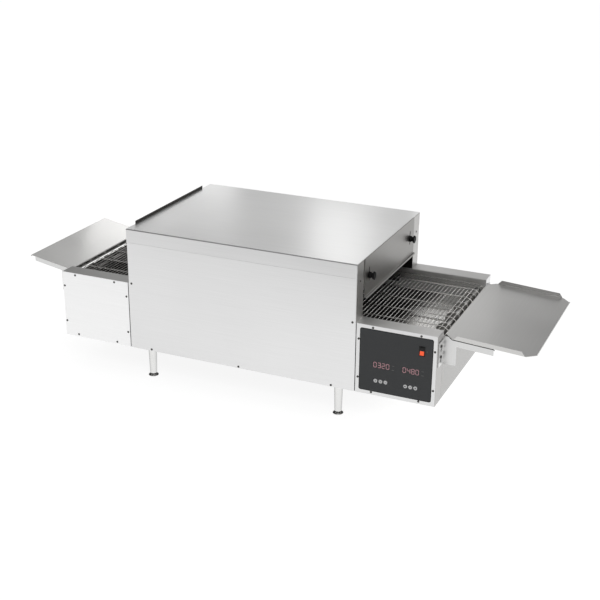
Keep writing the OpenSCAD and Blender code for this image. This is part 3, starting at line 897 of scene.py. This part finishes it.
@dataclass
class SheetWork:
    """The folded sheets: each keeps its CAD form and gets eased edges."""

    paint: Paintbox
    ease: float = 0.45 * MM
    fine_ease: float = 0.12 * MM
    flat_angle: float = math.radians(0.5)
    crisp_angle: float = math.radians(40)
    turned_from: float = 0.7
    lens_top: float = 0.8 * MM
    # Sheets that take another copy of the steel than their slot's: a lighter or darker tone, or shade painted
    # on the other side, as painted light and shade.
    finishes: dict[str, str] = field(default_factory=lambda: {
        "infeed_front_panel": "end_panel_steel",
        "control_panel": "control_panel_steel",
        "left_baffle": "infeed_baffle_steel",
        "exit_tray": "exit_tray_steel",
        "front_rail": "front_rail_steel",
    })
    sheets: tuple[str, ...] = (
        "top_cover", "front_panel", "rear_panel", "left_end_wall", "right_end_wall",
        "infeed_front_panel", "control_panel", "housing_rear_panels", "housing_end_panels",
        "front_rail", "rear_rail", "right_baffle", "left_baffle", "exit_tray", "exit_brackets",
        "infeed_shelf", "infeed_brackets", "rocker_bezel",
    )
    close_fitting: tuple[str, ...] = ("top_cover", "front_panel", "rear_panel")
    # Painted shade: faces turned along the axis take a darker copy of the steel.
    shaded_faces: dict[str, tuple[int, str]] = field(default_factory=lambda: {
        "front_panel": (0, "flange_steel"),
        "rear_panel": (0, "flange_steel"),
        "control_panel": (0, "flange_steel"),
        "top_cover": (1, "band_steel"),
    })

    def eased(self, node: str) -> BMesh:
        """Copies a CAD node's mesh and eases its edges.

        Args:
            node: the node's name.

        Returns:
            The eased mesh.
        """
        work = welded(node)
        bmesh.ops.dissolve_limit(work, angle_limit=self.flat_angle, verts=work.verts, edges=work.edges)
        crisp = [e for e in work.edges if len(e.link_faces) == 2 and e.calc_face_angle() > self.crisp_angle]
        bmesh.ops.bevel(
            work, geom=crisp, offset=self.fine_ease if node in self.close_fitting else self.ease,
            segments=2, profile=0.5, affect="EDGES", clamp_overlap=True,
        )
        return work

    def build(self) -> None:
        """Replaces each sheet by its eased copy; faces turned along a named axis get a darker copy of the
        steel as painted shade.
        """
        for node in self.sheets:
            mesh = settled(self.eased(node), f"{node}_sheet")
            stand_in(mesh, self.paint, self.finishes.get(node, SLOTS[node]), node)
            if node in self.shaded_faces:
                # Painted shade: the turned faces take the darker copy.
                axis, finish = self.shaded_faces[node]
                turned = [abs(face.normal[axis]) > self.turned_from for face in mesh.polygons]
                self.paint.second_finish(mesh, finish, turned)
        self.build_rocker()

    def build_rocker(self) -> None:
        """Parts the rocker into a lit lens below and a black half above."""
        node = "power_rocker"
        cut = Vector((0.0, 0.0, middle(node).z + self.lens_top))
        for name, finish, side, stands_for in (
            ("rocker_lens", "rocker_orange", 1.0, [node]), ("rocker_back", "bezel_black", -1.0, []),
        ):
            work = self.eased(node)
            everything = [*work.verts, *work.edges, *work.faces]
            bmesh.ops.bisect_plane(
                work, geom=everything, plane_co=cut, plane_no=(0.0, 0.0, side), clear_outer=True
            )
            bmesh.ops.holes_fill(work, edges=[e for e in work.edges if e.is_boundary], sides=0)
            place_piece(settled(work, name), self.paint, finish, BODIES[node], stands_for)


@dataclass
class WireBelt:
    """The endless belt: cross wires whose hooks hold the next wire."""

    paint: Paintbox
    pitch: float = 12.7 * MM
    wire: float = 0.9 * MM
    width: float = 444 * MM
    steps: int = 97
    turn_steps: int = 6
    hook_rise: float = 1.8 * MM
    hook_over: float = 1.5 * MM
    hook_half: float = 2.8 * MM
    columns: tuple[float, ...] = (-166 * MM, -88 * MM, 0.0, 88 * MM, 166 * MM)
    crisp: float = 60.0
    drive_x: float = field(init=False)
    idler_x: float = field(init=False)
    shaft_z: float = field(init=False)
    radius: float = field(init=False)

    def __post_init__(self) -> None:
        """Reads the shafts' places from the frame."""
        drive = middle("drive_sprockets")
        self.drive_x, self.idler_x, self.shaft_z = drive.x, middle("idler_sprockets").x, drive.z
        self.radius = self.pitch / (2 * math.sin(math.pi / (2 * self.turn_steps)))

    def loop_point(self, travel: float, y: float, rise: float) -> Vector:
        """A point of the belt, by its way along the endless loop.

        Args:
            travel: way along the loop from the idler's top, in wire steps.
            y: place across the belt.
            rise: height above the belt's own surface.

        Returns:
            The point in the part's frame.
        """
        reach = self.radius + rise
        half = self.steps + self.turn_steps
        back = travel >= half
        way = travel - half if back else travel
        if way <= self.steps:
            along = way * self.pitch
            x = self.drive_x - along if back else self.idler_x + along
            z = self.shaft_z - reach if back else self.shaft_z + reach
            return Vector((x, y, z))
        angle = math.pi / 2 - (way - self.steps) * math.pi / self.turn_steps
        angle -= math.pi if back else 0.0
        centre = self.idler_x if back else self.drive_x
        return Vector((centre + reach * math.cos(angle), y, self.shaft_z + reach * math.sin(angle)))

    def strand(self) -> list[Point]:
        """One wire's course, bent into a hook at each column and into an eye at each end.

        Returns:
            Points as steps along the belt, place across it and rise.
        """
        over = 1.0 + self.hook_over / self.pitch
        edge = self.width / 2 - self.wire
        # Steps along, millimetres from the edge and share of the rise
        eye = [
            (1.02, 6.5, -1.2), (over, 5.6, -0.2), (over, 4.6, 0.6), (0.85, 2.2, 1.0), (0.35, 0.2, 0.5),
            (0.08, 0.5, 0.1), (0.0, 2.6, 0.0),
        ]
        # Steps along, share of half a hook's width and share of the rise
        rising = [(0.0, 1.0, 0.0), (0.07, 0.72, 0.1), (0.5, 0.58, 0.7), (0.98, 0.5, 1.0), (over, 0.22, 0.75)]
        end = [(s, edge - inset * MM, r * self.hook_rise) for s, inset, r in eye]
        side = [(s, share * self.hook_half, r * self.hook_rise) for s, share, r in rising]
        course = [(s, -y, r) for s, y, r in end]
        for column in self.columns:
            course.extend((s, column - y, r) for s, y, r in side)
            course.extend((s, column + y, r) for s, y, r in reversed(side))
        course.extend(reversed(end))
        return course

    def build(self) -> None:
        """Builds the two runs and the two bends, each on its own body."""
        course = self.strand()
        half = self.steps + self.turn_steps
        groups = (
            ("belt_top_wires", "belt_top_run", "belt_wire", 0, self.steps),
            ("drive_bend_wires", "drive_wrap", "belt_wire", self.steps, half),
            ("belt_bottom_wires", "belt_bottom_run", "return_wire", half, half + self.steps),
            ("idler_bend_wires", "idler_wrap", "belt_wire", half + self.steps, 2 * half),
        )
        for name, node, finish, first, last in groups:
            shape = Shape()
            for k in range(first, last):
                shape.tube([self.loop_point((k + s) % (2 * half), y, r) for s, y, r in course], self.wire)
            stand_in(shape.mesh(name), self.paint, finish, node, self.crisp)


@dataclass
class EndGuards:
    """The thin plates that close the conveyor's ends behind the belt's bends."""

    paint: Paintbox
    half_w: float = 221 * MM
    foot_below: float = 12 * MM
    foot_h: float = 3 * MM
    belt_gap: float = 17 * MM
    stand_off: float = 1.2 * MM
    thick: float = 1.0 * MM

    def build(self) -> None:
        """Stands a plate on each end panel, held off it by a folded foot, with painted shade on its inner
        side.
        """
        low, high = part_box("housing_end_panels")
        bottom = high.z - self.foot_below
        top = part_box("belt_top_run")[0].z - self.belt_gap
        outer = self.stand_off + self.thick
        profile = (
            (0.0, bottom), (outer, bottom), (outer, top), (self.stand_off, top),
            (self.stand_off, bottom + self.foot_h), (0.0, bottom + self.foot_h),
        )
        guards = Shape()
        for x, outward in ((low.x, -1.0), (high.x, 1.0)):
            outline = [(outward * reach, z) for reach, z in profile]
            guards.plate(outline, facing_front(x, 0.0, 0.0), -self.half_w, self.half_w)
        mesh = guards.mesh("end_guards")
        place_piece(mesh, self.paint, "end_steel", "oven")
        # Painted shade: the inner faces take the near-black liner steel.
        inward = [face.normal.x * face.center.x < 0.0 for face in mesh.polygons]
        self.paint.second_finish(mesh, "liner_steel", inward)


@dataclass
class ClampKnobs:
    """The four lobed knobs that clamp the baffles."""

    paint: Paintbox
    lobes: int = 6
    steps: int = 72
    length: float = 18.0 * MM
    nodes: tuple[str, ...] = ("right_front_knob", "right_rear_knob", "left_front_knob", "left_rear_knob")
    # Radius, height above the knob's base and height of the lobes, in millimetres
    profile: tuple[Point, ...] = (
        (3.0, -10.1, 0.0), (3.0, 0.0, 0.0), (9.0, 0.0, 0.0), (9.8, 0.5, 0.0), (10.0, 1.2, 0.0),
        (10.0, 4.2, 0.0), (9.6, 5.0, 0.0), (8.4, 6.2, 0.0), (7.5, 7.2, 0.0), (7.3, 9.0, 0.0),
        (7.6, 11.0, 0.0), (10.0, 12.0, 0.6), (11.2, 12.4, 1.0), (11.8, 13.2, 1.1), (11.8, 16.2, 1.1),
        (11.3, 17.2, 1.0), (9.8, 17.9, 0.7), (8.0, 18.0, 0.3), (6.6, 17.4, 0.0), (2.0, 17.3, 0.0),
    )

    def build(self) -> None:
        """Turns each knob on its stud."""
        rings = [(r * MM, h * MM) for r, h, _ in self.profile]
        lobe_heights = [lobe * MM for _, _, lobe in self.profile]
        for node in self.nodes:
            low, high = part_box(node)
            outward = 1.0 if node.startswith("right") else -1.0
            tip = high.x if outward > 0 else low.x
            centre = middle(node)
            place = facing_side(tip - outward * self.length, centre.y, centre.z, outward)
            shape = Shape()
            shape.turned(rings, place, self.steps, self.lobes, lobe_heights)
            stand_in(shape.mesh(f"{node}_moulding"), self.paint, "knob_black", node)


@dataclass
class ControlFace:
    """The digits, dashes, border and keys of the control overlay."""

    paint: Paintbox
    corner: float = 6 * MM
    border: float = 1.6 * MM
    film: float = 0.12 * MM
    digit_w: float = 8.6 * MM
    digit_h: float = 15.5 * MM
    digit_step: float = 13.2 * MM
    digit_gap: float = 0.25 * MM
    stroke: float = 1.9 * MM
    display_w: float = 57 * MM
    readings: tuple[str, str] = ("0320", "0480")
    segments: dict[str, str] = field(default_factory=lambda: {
        "0": "abcdef", "1": "bc", "2": "abged", "3": "abgcd", "4": "fgbc",
        "5": "afgcd", "6": "afgedc", "7": "abc", "8": "abcdefg", "9": "abcdfg",
    })
    # Dashes beside each display, and the upright tick beside the switch
    dash_half: float = 4 * MM
    dash_w: float = 1.6 * MM
    dash_out: float = 8 * MM
    dash_rises: Pair = (5.5 * MM, -7.5 * MM)
    tick_half: float = 2.6 * MM
    tick_w: float = 1.4 * MM
    tick_out: float = 6 * MM
    # Key caps: share of the radius and height of each ring, in millimetres
    stem_r: float = 2 * MM
    cap_rings: tuple[Pair, ...] = ((1.0, -2.6), (1.0, -0.5), (0.96, -0.15), (0.88, 0.0), (0.4, -0.05))
    cap_steps: int = 40
    # Key marks in units: a slanted bar, a bar, an arrow and three dots
    mark_unit: float = 0.62 * MM
    mark_sunk: float = 0.04 * MM
    mark_proud: float = 0.08 * MM
    mark_outlines: tuple[tuple[Pair, ...], ...] = (
        ((-1.4, -2.8), (1.2, -2.8), (1.2, 2.8), (-0.2, 2.8)),
        ((-1.0, -3.0), (1.0, -3.0), (1.0, 3.0), (-1.0, 3.0)),
        ((-1.8, 0.6), (0.0, -2.8), (1.8, 0.6), (0.6, 2.8), (-0.6, 2.8)),
    )
    dot_radii: tuple[float, ...] = (3.2, 1.7, 3.2)
    dot_steps: int = 20

    def bar(self, start: Pair, end: Pair, width: float) -> list[Pair]:
        """The outline of a segment with pointed ends.

        Args:
            start: one end.
            end: the other end.
            width: the segment's width.

        Returns:
            The outline's points.
        """
        a, b = Vector(start), Vector(end)
        tip = (b - a).normalized() * width / 2
        across = Vector((-tip.y, tip.x))
        points = (a, a + tip - across, b - tip - across, b, b - tip + across, a + tip + across)
        return [(p.x, p.y) for p in points]

    def digit_bars(self, digit: str) -> list[list[Pair]]:
        """The lit segments of a digit, centred.

        Args:
            digit: the digit.

        Returns:
            Outlines of its lit segments.
        """
        w, h, s = self.digit_w / 2, self.digit_h / 2, self.digit_gap
        ends = {
            "a": ((-w + s, h), (w - s, h)), "g": ((-w + s, 0), (w - s, 0)), "d": ((-w + s, -h), (w - s, -h)),
            "f": ((-w, s), (-w, h - s)), "b": ((w, s), (w, h - s)),
            "e": ((-w, -h + s), (-w, -s)), "c": ((w, -h + s), (w, -s)),
        }
        return [self.bar(*ends[name], self.stroke) for name in self.segments[digit]]

    def build(self) -> None:
        """Adds the digits, the dashes, the border and the keys."""
        self.build_digits()
        self.build_dashes()
        self.build_border()
        self.build_keys()

    def build_digits(self) -> None:
        """Lights the two displays."""
        low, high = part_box("display_windows")
        level = middle("display_windows").z
        digits = Shape()
        for centre, reading in zip((low.x + self.display_w / 2, high.x - self.display_w / 2), self.readings):
            for i, digit in enumerate(reading):
                x = centre + (i - (len(reading) - 1) / 2) * self.digit_step
                for outline in self.digit_bars(digit):
                    digits.plate(outline, facing_front(x, low.y, level), 0.0, self.film)
        place_piece(digits.mesh("display_digits"), self.paint, "digit_red", "oven")

    def build_dashes(self) -> None:
        """Prints two dashes beside each display and a tick beside the switch."""
        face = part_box("control_overlay")[0].y
        low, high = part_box("display_windows")
        dash = self.bar((-self.dash_half, 0), (self.dash_half, 0), self.dash_w)
        dashes = Shape()
        for right in (low.x + self.display_w, high.x):
            for rise in self.dash_rises:
                place = facing_front(right + self.dash_out, face, middle("display_windows").z + rise)
                dashes.plate(dash, place, 0.0, self.film)
        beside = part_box("rocker_bezel")[1].x + self.tick_out
        place = facing_front(beside, face, middle("rocker_bezel").z)
        tick = self.bar((0, -self.tick_half), (0, self.tick_half), self.tick_w)
        dashes.plate(tick, place, 0.0, self.film)
        place_piece(dashes.mesh("overlay_dashes"), self.paint, "print_grey", "oven")

    def build_border(self) -> None:
        """Adds the dark line round the overlay."""
        low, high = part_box("control_overlay")
        outer, inner = (
            rounded((low.x + inset, high.x - inset), (low.z + inset, high.z - inset), self.corner - inset)
            for inset in (0.0, self.border)
        )
        border = Shape()
        border.frame_plate(outer, inner, facing_front(0.0, low.y, 0.0), self.film)
        place_piece(border.mesh("overlay_border"), self.paint, "print_dark", "oven")

    def build_keys(self) -> None:
        """Turns the six keys with a soft rim, and prints a plain mark on each."""
        dots = [[(r * x, r * y) for x, y in circle(self.dot_steps)] for r in self.dot_radii]
        for i, outline in enumerate((*self.mark_outlines, *dots), 1):
            node = f"key_{i}"
            low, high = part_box(node)
            place = facing_front(middle(node).x, low.y, middle(node).z)
            radius = (high.x - low.x) / 2
            rings = [(share * radius, h * MM) for share, h in self.cap_rings]
            stem = [(self.stem_r, low.y - high.y), (self.stem_r, rings[0][1])]
            cap = Shape()
            cap.turned(stem + rings, place, self.cap_steps)
            stand_in(cap.mesh(f"{node}_cap"), self.paint, "key_white", node)
            mark = Shape()
            sized = [(a * self.mark_unit, b * self.mark_unit) for a, b in outline]
            mark.plate(sized, place, -self.mark_sunk, self.mark_proud)
            place_piece(mark.mesh(f"{node}_mark"), self.paint, "print_dark", BODIES[node])


@dataclass
class Fasteners:
    """Pan-head screws with a cross recess, and the shoulder screws that the trays hang on."""

    paint: Paintbox
    head_r: float = 3.5 * MM
    head_h: float = 1.4 * MM
    rim: float = 0.45
    dome_shares: tuple[float, ...] = (0.93, 0.8, 0.66, 0.54, 0.42, 0.3, 0.18)
    arm_w: float = 0.75 * MM
    arm_l: float = 2.2 * MM
    recess: float = 0.7 * MM
    steps: int = 32
    shank_r: float = 2.5 * MM
    # Radius and depth below the tip of each ring of a shoulder screw's head, in millimetres
    shoulder_rings: tuple[Pair, ...] = (
        (2.5, 2.0), (4.6, 2.0), (4.8, 1.6), (4.8, 0.5), (4.3, 0.0), (1.8, 0.0), (1.7, 0.8),
    )

    def boxes(self, node: str) -> list[tuple[Vector, Vector]]:
        """Finds the screws of a node as loose islands of its mesh.

        Args:
            node: the CAD node that groups them.

        Returns:
            The lowest and highest corner of each screw.
        """
        work = welded(node)
        todo = set(work.verts)
        found = []
        while todo:
            queue = [todo.pop()]
            island = list(queue)
            while queue:
                near = {vert for edge in queue.pop().link_edges for vert in edge.verts} & todo
                todo -= near
                queue.extend(near)
                island.extend(near)
            corners = ([pick(v.co[k] for v in island) for k in range(3)] for pick in (min, max))
            found.append(tuple(Vector(corner) for corner in corners))
        work.free()
        return sorted(found, key=lambda box: tuple(box[0]))

    def head(self, shape: Shape, place: Matrix) -> None:
        """Adds one domed head with a cross recess.

        Args:
            shape: the shape to add to.
            place: frame with its Z axis out of the head.
        """
        rings = [(1.0, 0.0), (1.0, self.rim)]
        rings += [(s, 1 - (1 - self.rim) * s ** 3) for s in self.dome_shares]
        made = []
        for share, rise in rings:
            ring = []
            for x, y in circle(self.steps):
                x, y = share * self.head_r * x, share * self.head_r * y
                inside = min(abs(x), abs(y)) < self.arm_w and max(abs(x), abs(y)) < self.arm_l
                sunk = self.recess if inside and rise > self.rim else 0.0
                ring.append(place @ Vector((x, y, rise * self.head_h - sunk)))
            made.append(ring)
        shape.skin(made)

    def outward(self, low: Vector, high: Vector) -> Matrix:
        """The frame of a screw on the nearest outer face.

        Args:
            low: lowest corner of the screw.
            high: highest corner of the screw.

        Returns:
            A frame at the seat of the head, with its Z axis outward.
        """
        middle = (low + high) / 2
        size = high - low
        if size.x < size.y:
            sign = 1.0 if middle.x > 0 else -1.0
            seat = low.x if sign > 0 else high.x
            return facing_side(seat, middle.y, middle.z, sign)
        if middle.y < 0:
            return facing_front(middle.x, high.y, middle.z)
        return Matrix.Translation((middle.x, low.y, middle.z)) @ Matrix.Rotation(-math.pi / 2, 4, "X")

    def build(self) -> None:
        """Builds both groups of screws."""
        panel = Shape()
        for low, high in self.boxes("panel_screws"):
            self.head(panel, self.outward(low, high))
        stand_in(panel.mesh("panel_screw_heads"), self.paint, "screw_steel", "panel_screws")
        hanging = Shape()
        for low, high in self.boxes("hanger_screws"):
            length = high.x - low.x
            rings = [(r * MM, length - below * MM) for r, below in self.shoulder_rings]
            hanging.turned([(self.shank_r, 0.0), *rings], self.outward(low, high), self.steps)
        stand_in(hanging.mesh("hanger_screw_heads"), self.paint, "screw_steel", "hanger_screws")


@dataclass
class Legs:
    """Four turned legs and their screw-in feet."""

    paint: Paintbox
    feet: tuple[str, ...] = ("front_left_foot", "front_right_foot", "rear_left_foot", "rear_right_foot")
    steps: int = 48
    leg_top_r: float = 13.9 * MM
    collar: float = 1.0 * MM
    stud_r: float = 6.0 * MM
    # Radius and height of each ring, in millimetres: above the leg's lower end, and above the counter
    leg_rings: tuple[Pair, ...] = ((6.5, 0.0), (9.5, 0.0), (10.6, 0.8), (11.2, 2.0), (11.5, 4.0))
    foot_rings: tuple[Pair, ...] = (
        (15.6, 0.0), (16.5, 0.8), (16.5, 2.6), (15.6, 3.6), (12.0, 4.8), (6.9, 5.0), (6.0, 5.4),
    )

    def build(self) -> None:
        """Turns the legs as one piece and each foot on its own body."""
        bottom, top = (corner.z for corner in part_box("legs"))
        leg_profile = [(r * MM, bottom + h * MM) for r, h in self.leg_rings]
        leg_profile += [(self.leg_top_r, top - self.collar), (self.leg_top_r, top)]
        legs = Shape()
        for node in self.feet:
            place = Matrix.Translation((*middle(node).xy, 0.0))
            legs.turned(leg_profile, place, self.steps)
            foot = Shape()
            foot_profile = [(r * MM, h * MM) for r, h in self.foot_rings]
            foot.turned([*foot_profile, (self.stud_r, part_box(node)[1].z)], place, self.steps)
            stand_in(foot.mesh(f"{node}_turned"), self.paint, "foot_steel", node)
        stand_in(legs.mesh("turned_legs"), self.paint, "leg_steel", "legs")


@dataclass
class TrayShadowStrips:
    """Black strips painted along the shadow gaps between the exit tray and the arms that carry it."""

    paint: Paintbox
    radius: float = 1.1 * MM
    sides: int = 8
    arm_l: float = 150 * MM
    near_w: float = 442 * MM
    near_z: float = 311.5 * MM
    slope: float = math.tan(math.radians(3.8))
    below: float = 2.6 * MM
    near_inset: float = 1.0 * MM
    edge_inset: float = 1.5 * MM
    turn_down: float = 3 * MM

    def build(self) -> None:
        """Lays a painted shadow strip along the tray's front and rear edges."""
        low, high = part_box("exit_tray")
        edge = (high.y - low.y) / 2 - self.edge_inset
        corner = edge - self.near_w / 2
        strips = Shape()
        for side in (-1.0, 1.0):
            path = [
                Vector((low.x + x, side * y, self.near_z - x * self.slope - self.below))
                for x, y in ((0.0, self.near_w / 2 - self.near_inset), (corner, edge), (self.arm_l, edge))
            ]
            path.append(path[-1] + Vector((self.turn_down, 0.0, -self.turn_down)))
            strips.tube(path, self.radius, self.sides)
        # Painted shadow: black tubes stand in for the shade under the tray's edges.
        place_piece(strips.mesh("exit_tray_shadow_strips"), self.paint, "tray_shadow_black", "exit_tray")


@dataclass(frozen=True)
class SkyPatch:
    """A soft round area of the sky with its own brightness.

    The angles are in degrees: azimuth from +Y towards +X, rise above the floor, and the radii at which
    the area is full and gone.
    """

    azimuth: float
    rise: float
    full: float
    gone: float
    level: float

    def centre(self) -> Point:
        """Gives the direction of the area's middle."""
        turn, up = math.radians(self.azimuth), math.radians(self.rise)
        return (math.sin(turn) * math.cos(up), math.cos(turn) * math.cos(up), math.sin(up))

    def ends(self) -> Pair:
        """Gives the cosines of the angles at which the area is gone and full."""
        return math.cos(math.radians(self.gone)), math.cos(math.radians(self.full))


@dataclass(frozen=True)
class SoftPanel:
    """A rectangular lamp between two ends, as wide as they stand apart, that faces a target."""

    name: str
    start: Point
    end: Point
    height: float
    target: Point
    watts: float

    def frame(self) -> Matrix:
        """Works out how the lamp stands.

        Returns:
            Its place and turn, with local X along it and local Z away from the target.
        """
        start, end = Vector(self.start), Vector(self.end)
        middle = (start + end) / 2
        away = (middle - Vector(self.target)).normalized()
        along = end - start
        along = (along - away * along.dot(away)).normalized()
        turn = Matrix((along, away.cross(along), away)).transposed().to_4x4()
        return Matrix.Translation(middle) @ turn


@dataclass
class Studio:
    """The camera, the pale floor and the soft light."""

    place: Point = (1.45939, -3.24989, 1.65684)
    yaw: float = math.radians(23.75)
    pitch: float = math.radians(21.72)
    roll: float = math.radians(0.465)
    lens_mm: float = 70.02
    sensor_mm: float = 36.0
    sky: float = 0.68
    patches: tuple[SkyPatch, ...] = (
        SkyPatch(156.0, 15.0, 30.0, 75.0, 0.26),
        SkyPatch(-42.0, 25.0, 6.0, 19.0, 0.36),
        SkyPatch(8.0, 30.0, 11.0, 20.0, 0.16),
        SkyPatch(-120.0, 55.0, 25.0, 52.0, 0.14),
        SkyPatch(-156.0, 10.0, 16.0, 46.0, 0.20),
    )
    panels: tuple[SoftPanel, ...] = (
        SoftPanel("key_panel", (0.2, -2.6, 3.0), (2.4, -2.6, 3.0), 1.6, (0.0, 0.0, 0.2), 25.0),
        SoftPanel("rear_left_panel", (-1.85, 1.5, 0.72), (-1.0, 1.5, 0.92), 0.16, (-0.5, 0.1, 0.45), 0.58),
        SoftPanel(
            "rear_right_panel", (-0.57, 1.5, 1.15), (-0.29, 1.5, 1.19), 0.22, (0.26, -0.24, 0.505), 0.28
        ),
        SoftPanel("shelf_panel", (-1.08, 0.6, 0.53), (-0.79, 0.6, 0.51), 0.36, (-0.78, 0.1, 0.325), 0.185),
        SoftPanel("tray_panel", (0.22, 0.6, 0.62), (0.57, 0.6, 0.62), 0.17, (0.60, 0.0, 0.31), 0.05),
        SoftPanel("wire_panel", (0.88, 1.3, 0.56), (1.28, 1.3, 0.56), 0.3, (0.46, 0.0, 0.31), 0.62),
    )
    floor_half: float = 40.0
    floor_white: float = 0.90
    floor_edge: Pair = (-1.85, -1.32)
    floor_dim: float = 0.35
    floor_pale: float = 0.8
    floor_soft: float = 0.3

    def camera(self) -> None:
        """Sets the camera where the photograph was taken from."""
        data = bpy.data.cameras.new("photo_camera")
        data.lens = self.lens_mm
        data.sensor_width = self.sensor_mm
        forward = Vector((
            -math.sin(self.yaw) * math.cos(self.pitch), math.cos(self.yaw) * math.cos(self.pitch),
            -math.sin(self.pitch),
        ))
        level = Vector((math.cos(self.yaw), math.sin(self.yaw), 0.0))
        right = level * math.cos(self.roll) + level.cross(forward) * math.sin(self.roll)
        turn = Matrix((right, right.cross(forward), -forward)).transposed().to_4x4()
        camera = add_object("photo_camera", data)
        camera.matrix_world = Matrix.Translation(self.place) @ turn
        bpy.context.scene.camera = camera

    def floor(self) -> None:
        """Lays a floor that looks white, keeps the oven's shadow and is dimmer on the camera's side."""
        half = self.floor_half
        corners = ((-half, -half), (half, -half), (half, half), (-half, half))
        mesh = Shape([Vector((x, y, 0.0)) for x, y in corners], [(0, 1, 2, 3)]).mesh("studio_floor")
        floor = add_object("studio_floor", mesh)
        material = bpy.data.materials.new("floor_white")
        material.use_nodes = True
        nodes = material.node_tree.nodes
        nodes.remove(nodes["Principled BSDF"])
        wires = Wiring(material.node_tree)
        rays = wires.node("ShaderNodeLightPath").outputs
        seen = wires.math("MAXIMUM", rays["Is Camera Ray"], rays["Is Glossy Ray"])
        seen = wires.math("MAXIMUM", seen, rays["Is Transmission Ray"])
        depth = wires.along("Object", (-math.sin(self.yaw), math.cos(self.yaw), 0.0))
        level = wires.spread(depth, self.floor_dim, 1.0, self.floor_edge, Curve.SOFT)
        pale, soft = wires.node("ShaderNodeBsdfDiffuse"), wires.node("ShaderNodeBsdfDiffuse")
        pale.inputs["Color"].default_value = (*[self.floor_pale] * 3, 1.0)
        soft.inputs["Color"].default_value = (*[self.floor_soft] * 3, 1.0)
        white = wires.node("ShaderNodeEmission")
        wires.feed(white.inputs["Strength"], wires.math("MULTIPLY", level, self.floor_white))
        bright = wires.node("ShaderNodeAddShader")
        either = wires.node("ShaderNodeMixShader")
        for target, source in (
            (bright.inputs[0], soft.outputs[0]), (bright.inputs[1], white.outputs[0]),
            (either.inputs[0], seen), (either.inputs[1], pale.outputs[0]),
            (either.inputs[2], bright.outputs[0]),
            (nodes["Material Output"].inputs["Surface"], either.outputs[0]),
        ):
            wires.feed(target, source)
        mesh.materials.append(material)

    def sky_light(self) -> None:
        """Fills the studio with even light, broken by soft darker areas as a room's walls would."""
        world = bpy.data.worlds.new("studio_light")
        bpy.context.scene.world = world
        world.use_nodes = True
        wires = Wiring(world.node_tree)
        level: object = self.sky
        for patch in self.patches:
            toward = wires.along("Generated", patch.centre())
            level = wires.spread(toward, level, patch.level, patch.ends(), Curve.SOFT)
        background = world.node_tree.nodes["Background"]
        wires.feed(background.inputs["Color"], level)
        background.inputs["Strength"].default_value = 1.0

    def lamps(self) -> None:
        """Hangs the soft panels; those behind the oven show only as soft glints on the steel."""
        for panel in self.panels:
            data = bpy.data.lights.new(panel.name, "AREA")
            data.shape = "RECTANGLE"
            data.size = (Vector(panel.end) - Vector(panel.start)).length
            data.size_y = panel.height
            data.energy = panel.watts
            lamp = add_object(panel.name, data)
            lamp.matrix_world = panel.frame()
            lamp.visible_camera = False

    def build(self) -> None:
        """Sets up the whole studio."""
        bpy.context.scene.view_settings.view_transform = "Standard"
        self.camera()
        self.floor()
        self.sky_light()
        self.lamps()


def main() -> None:
    """Builds the studio and every sub-assembly in order."""
    logging.basicConfig(level=logging.INFO, format="%(name)s: %(message)s")
    Studio().build()
    paint = Paintbox((*SHEET_FINISHES, *FITTING_FINISHES))
    for node, slot in SLOTS.items():
        paint.coat_node(node, slot)
    for assembly in (
        SheetWork(paint), WireBelt(paint), EndGuards(paint), ClampKnobs(paint), ControlFace(paint),
        Fasteners(paint), Legs(paint), TrayShadowStrips(paint),
    ):
        assembly.build()
        LOG.info("%s is built", type(assembly).__name__)


if __name__ == "__main__":
    main()
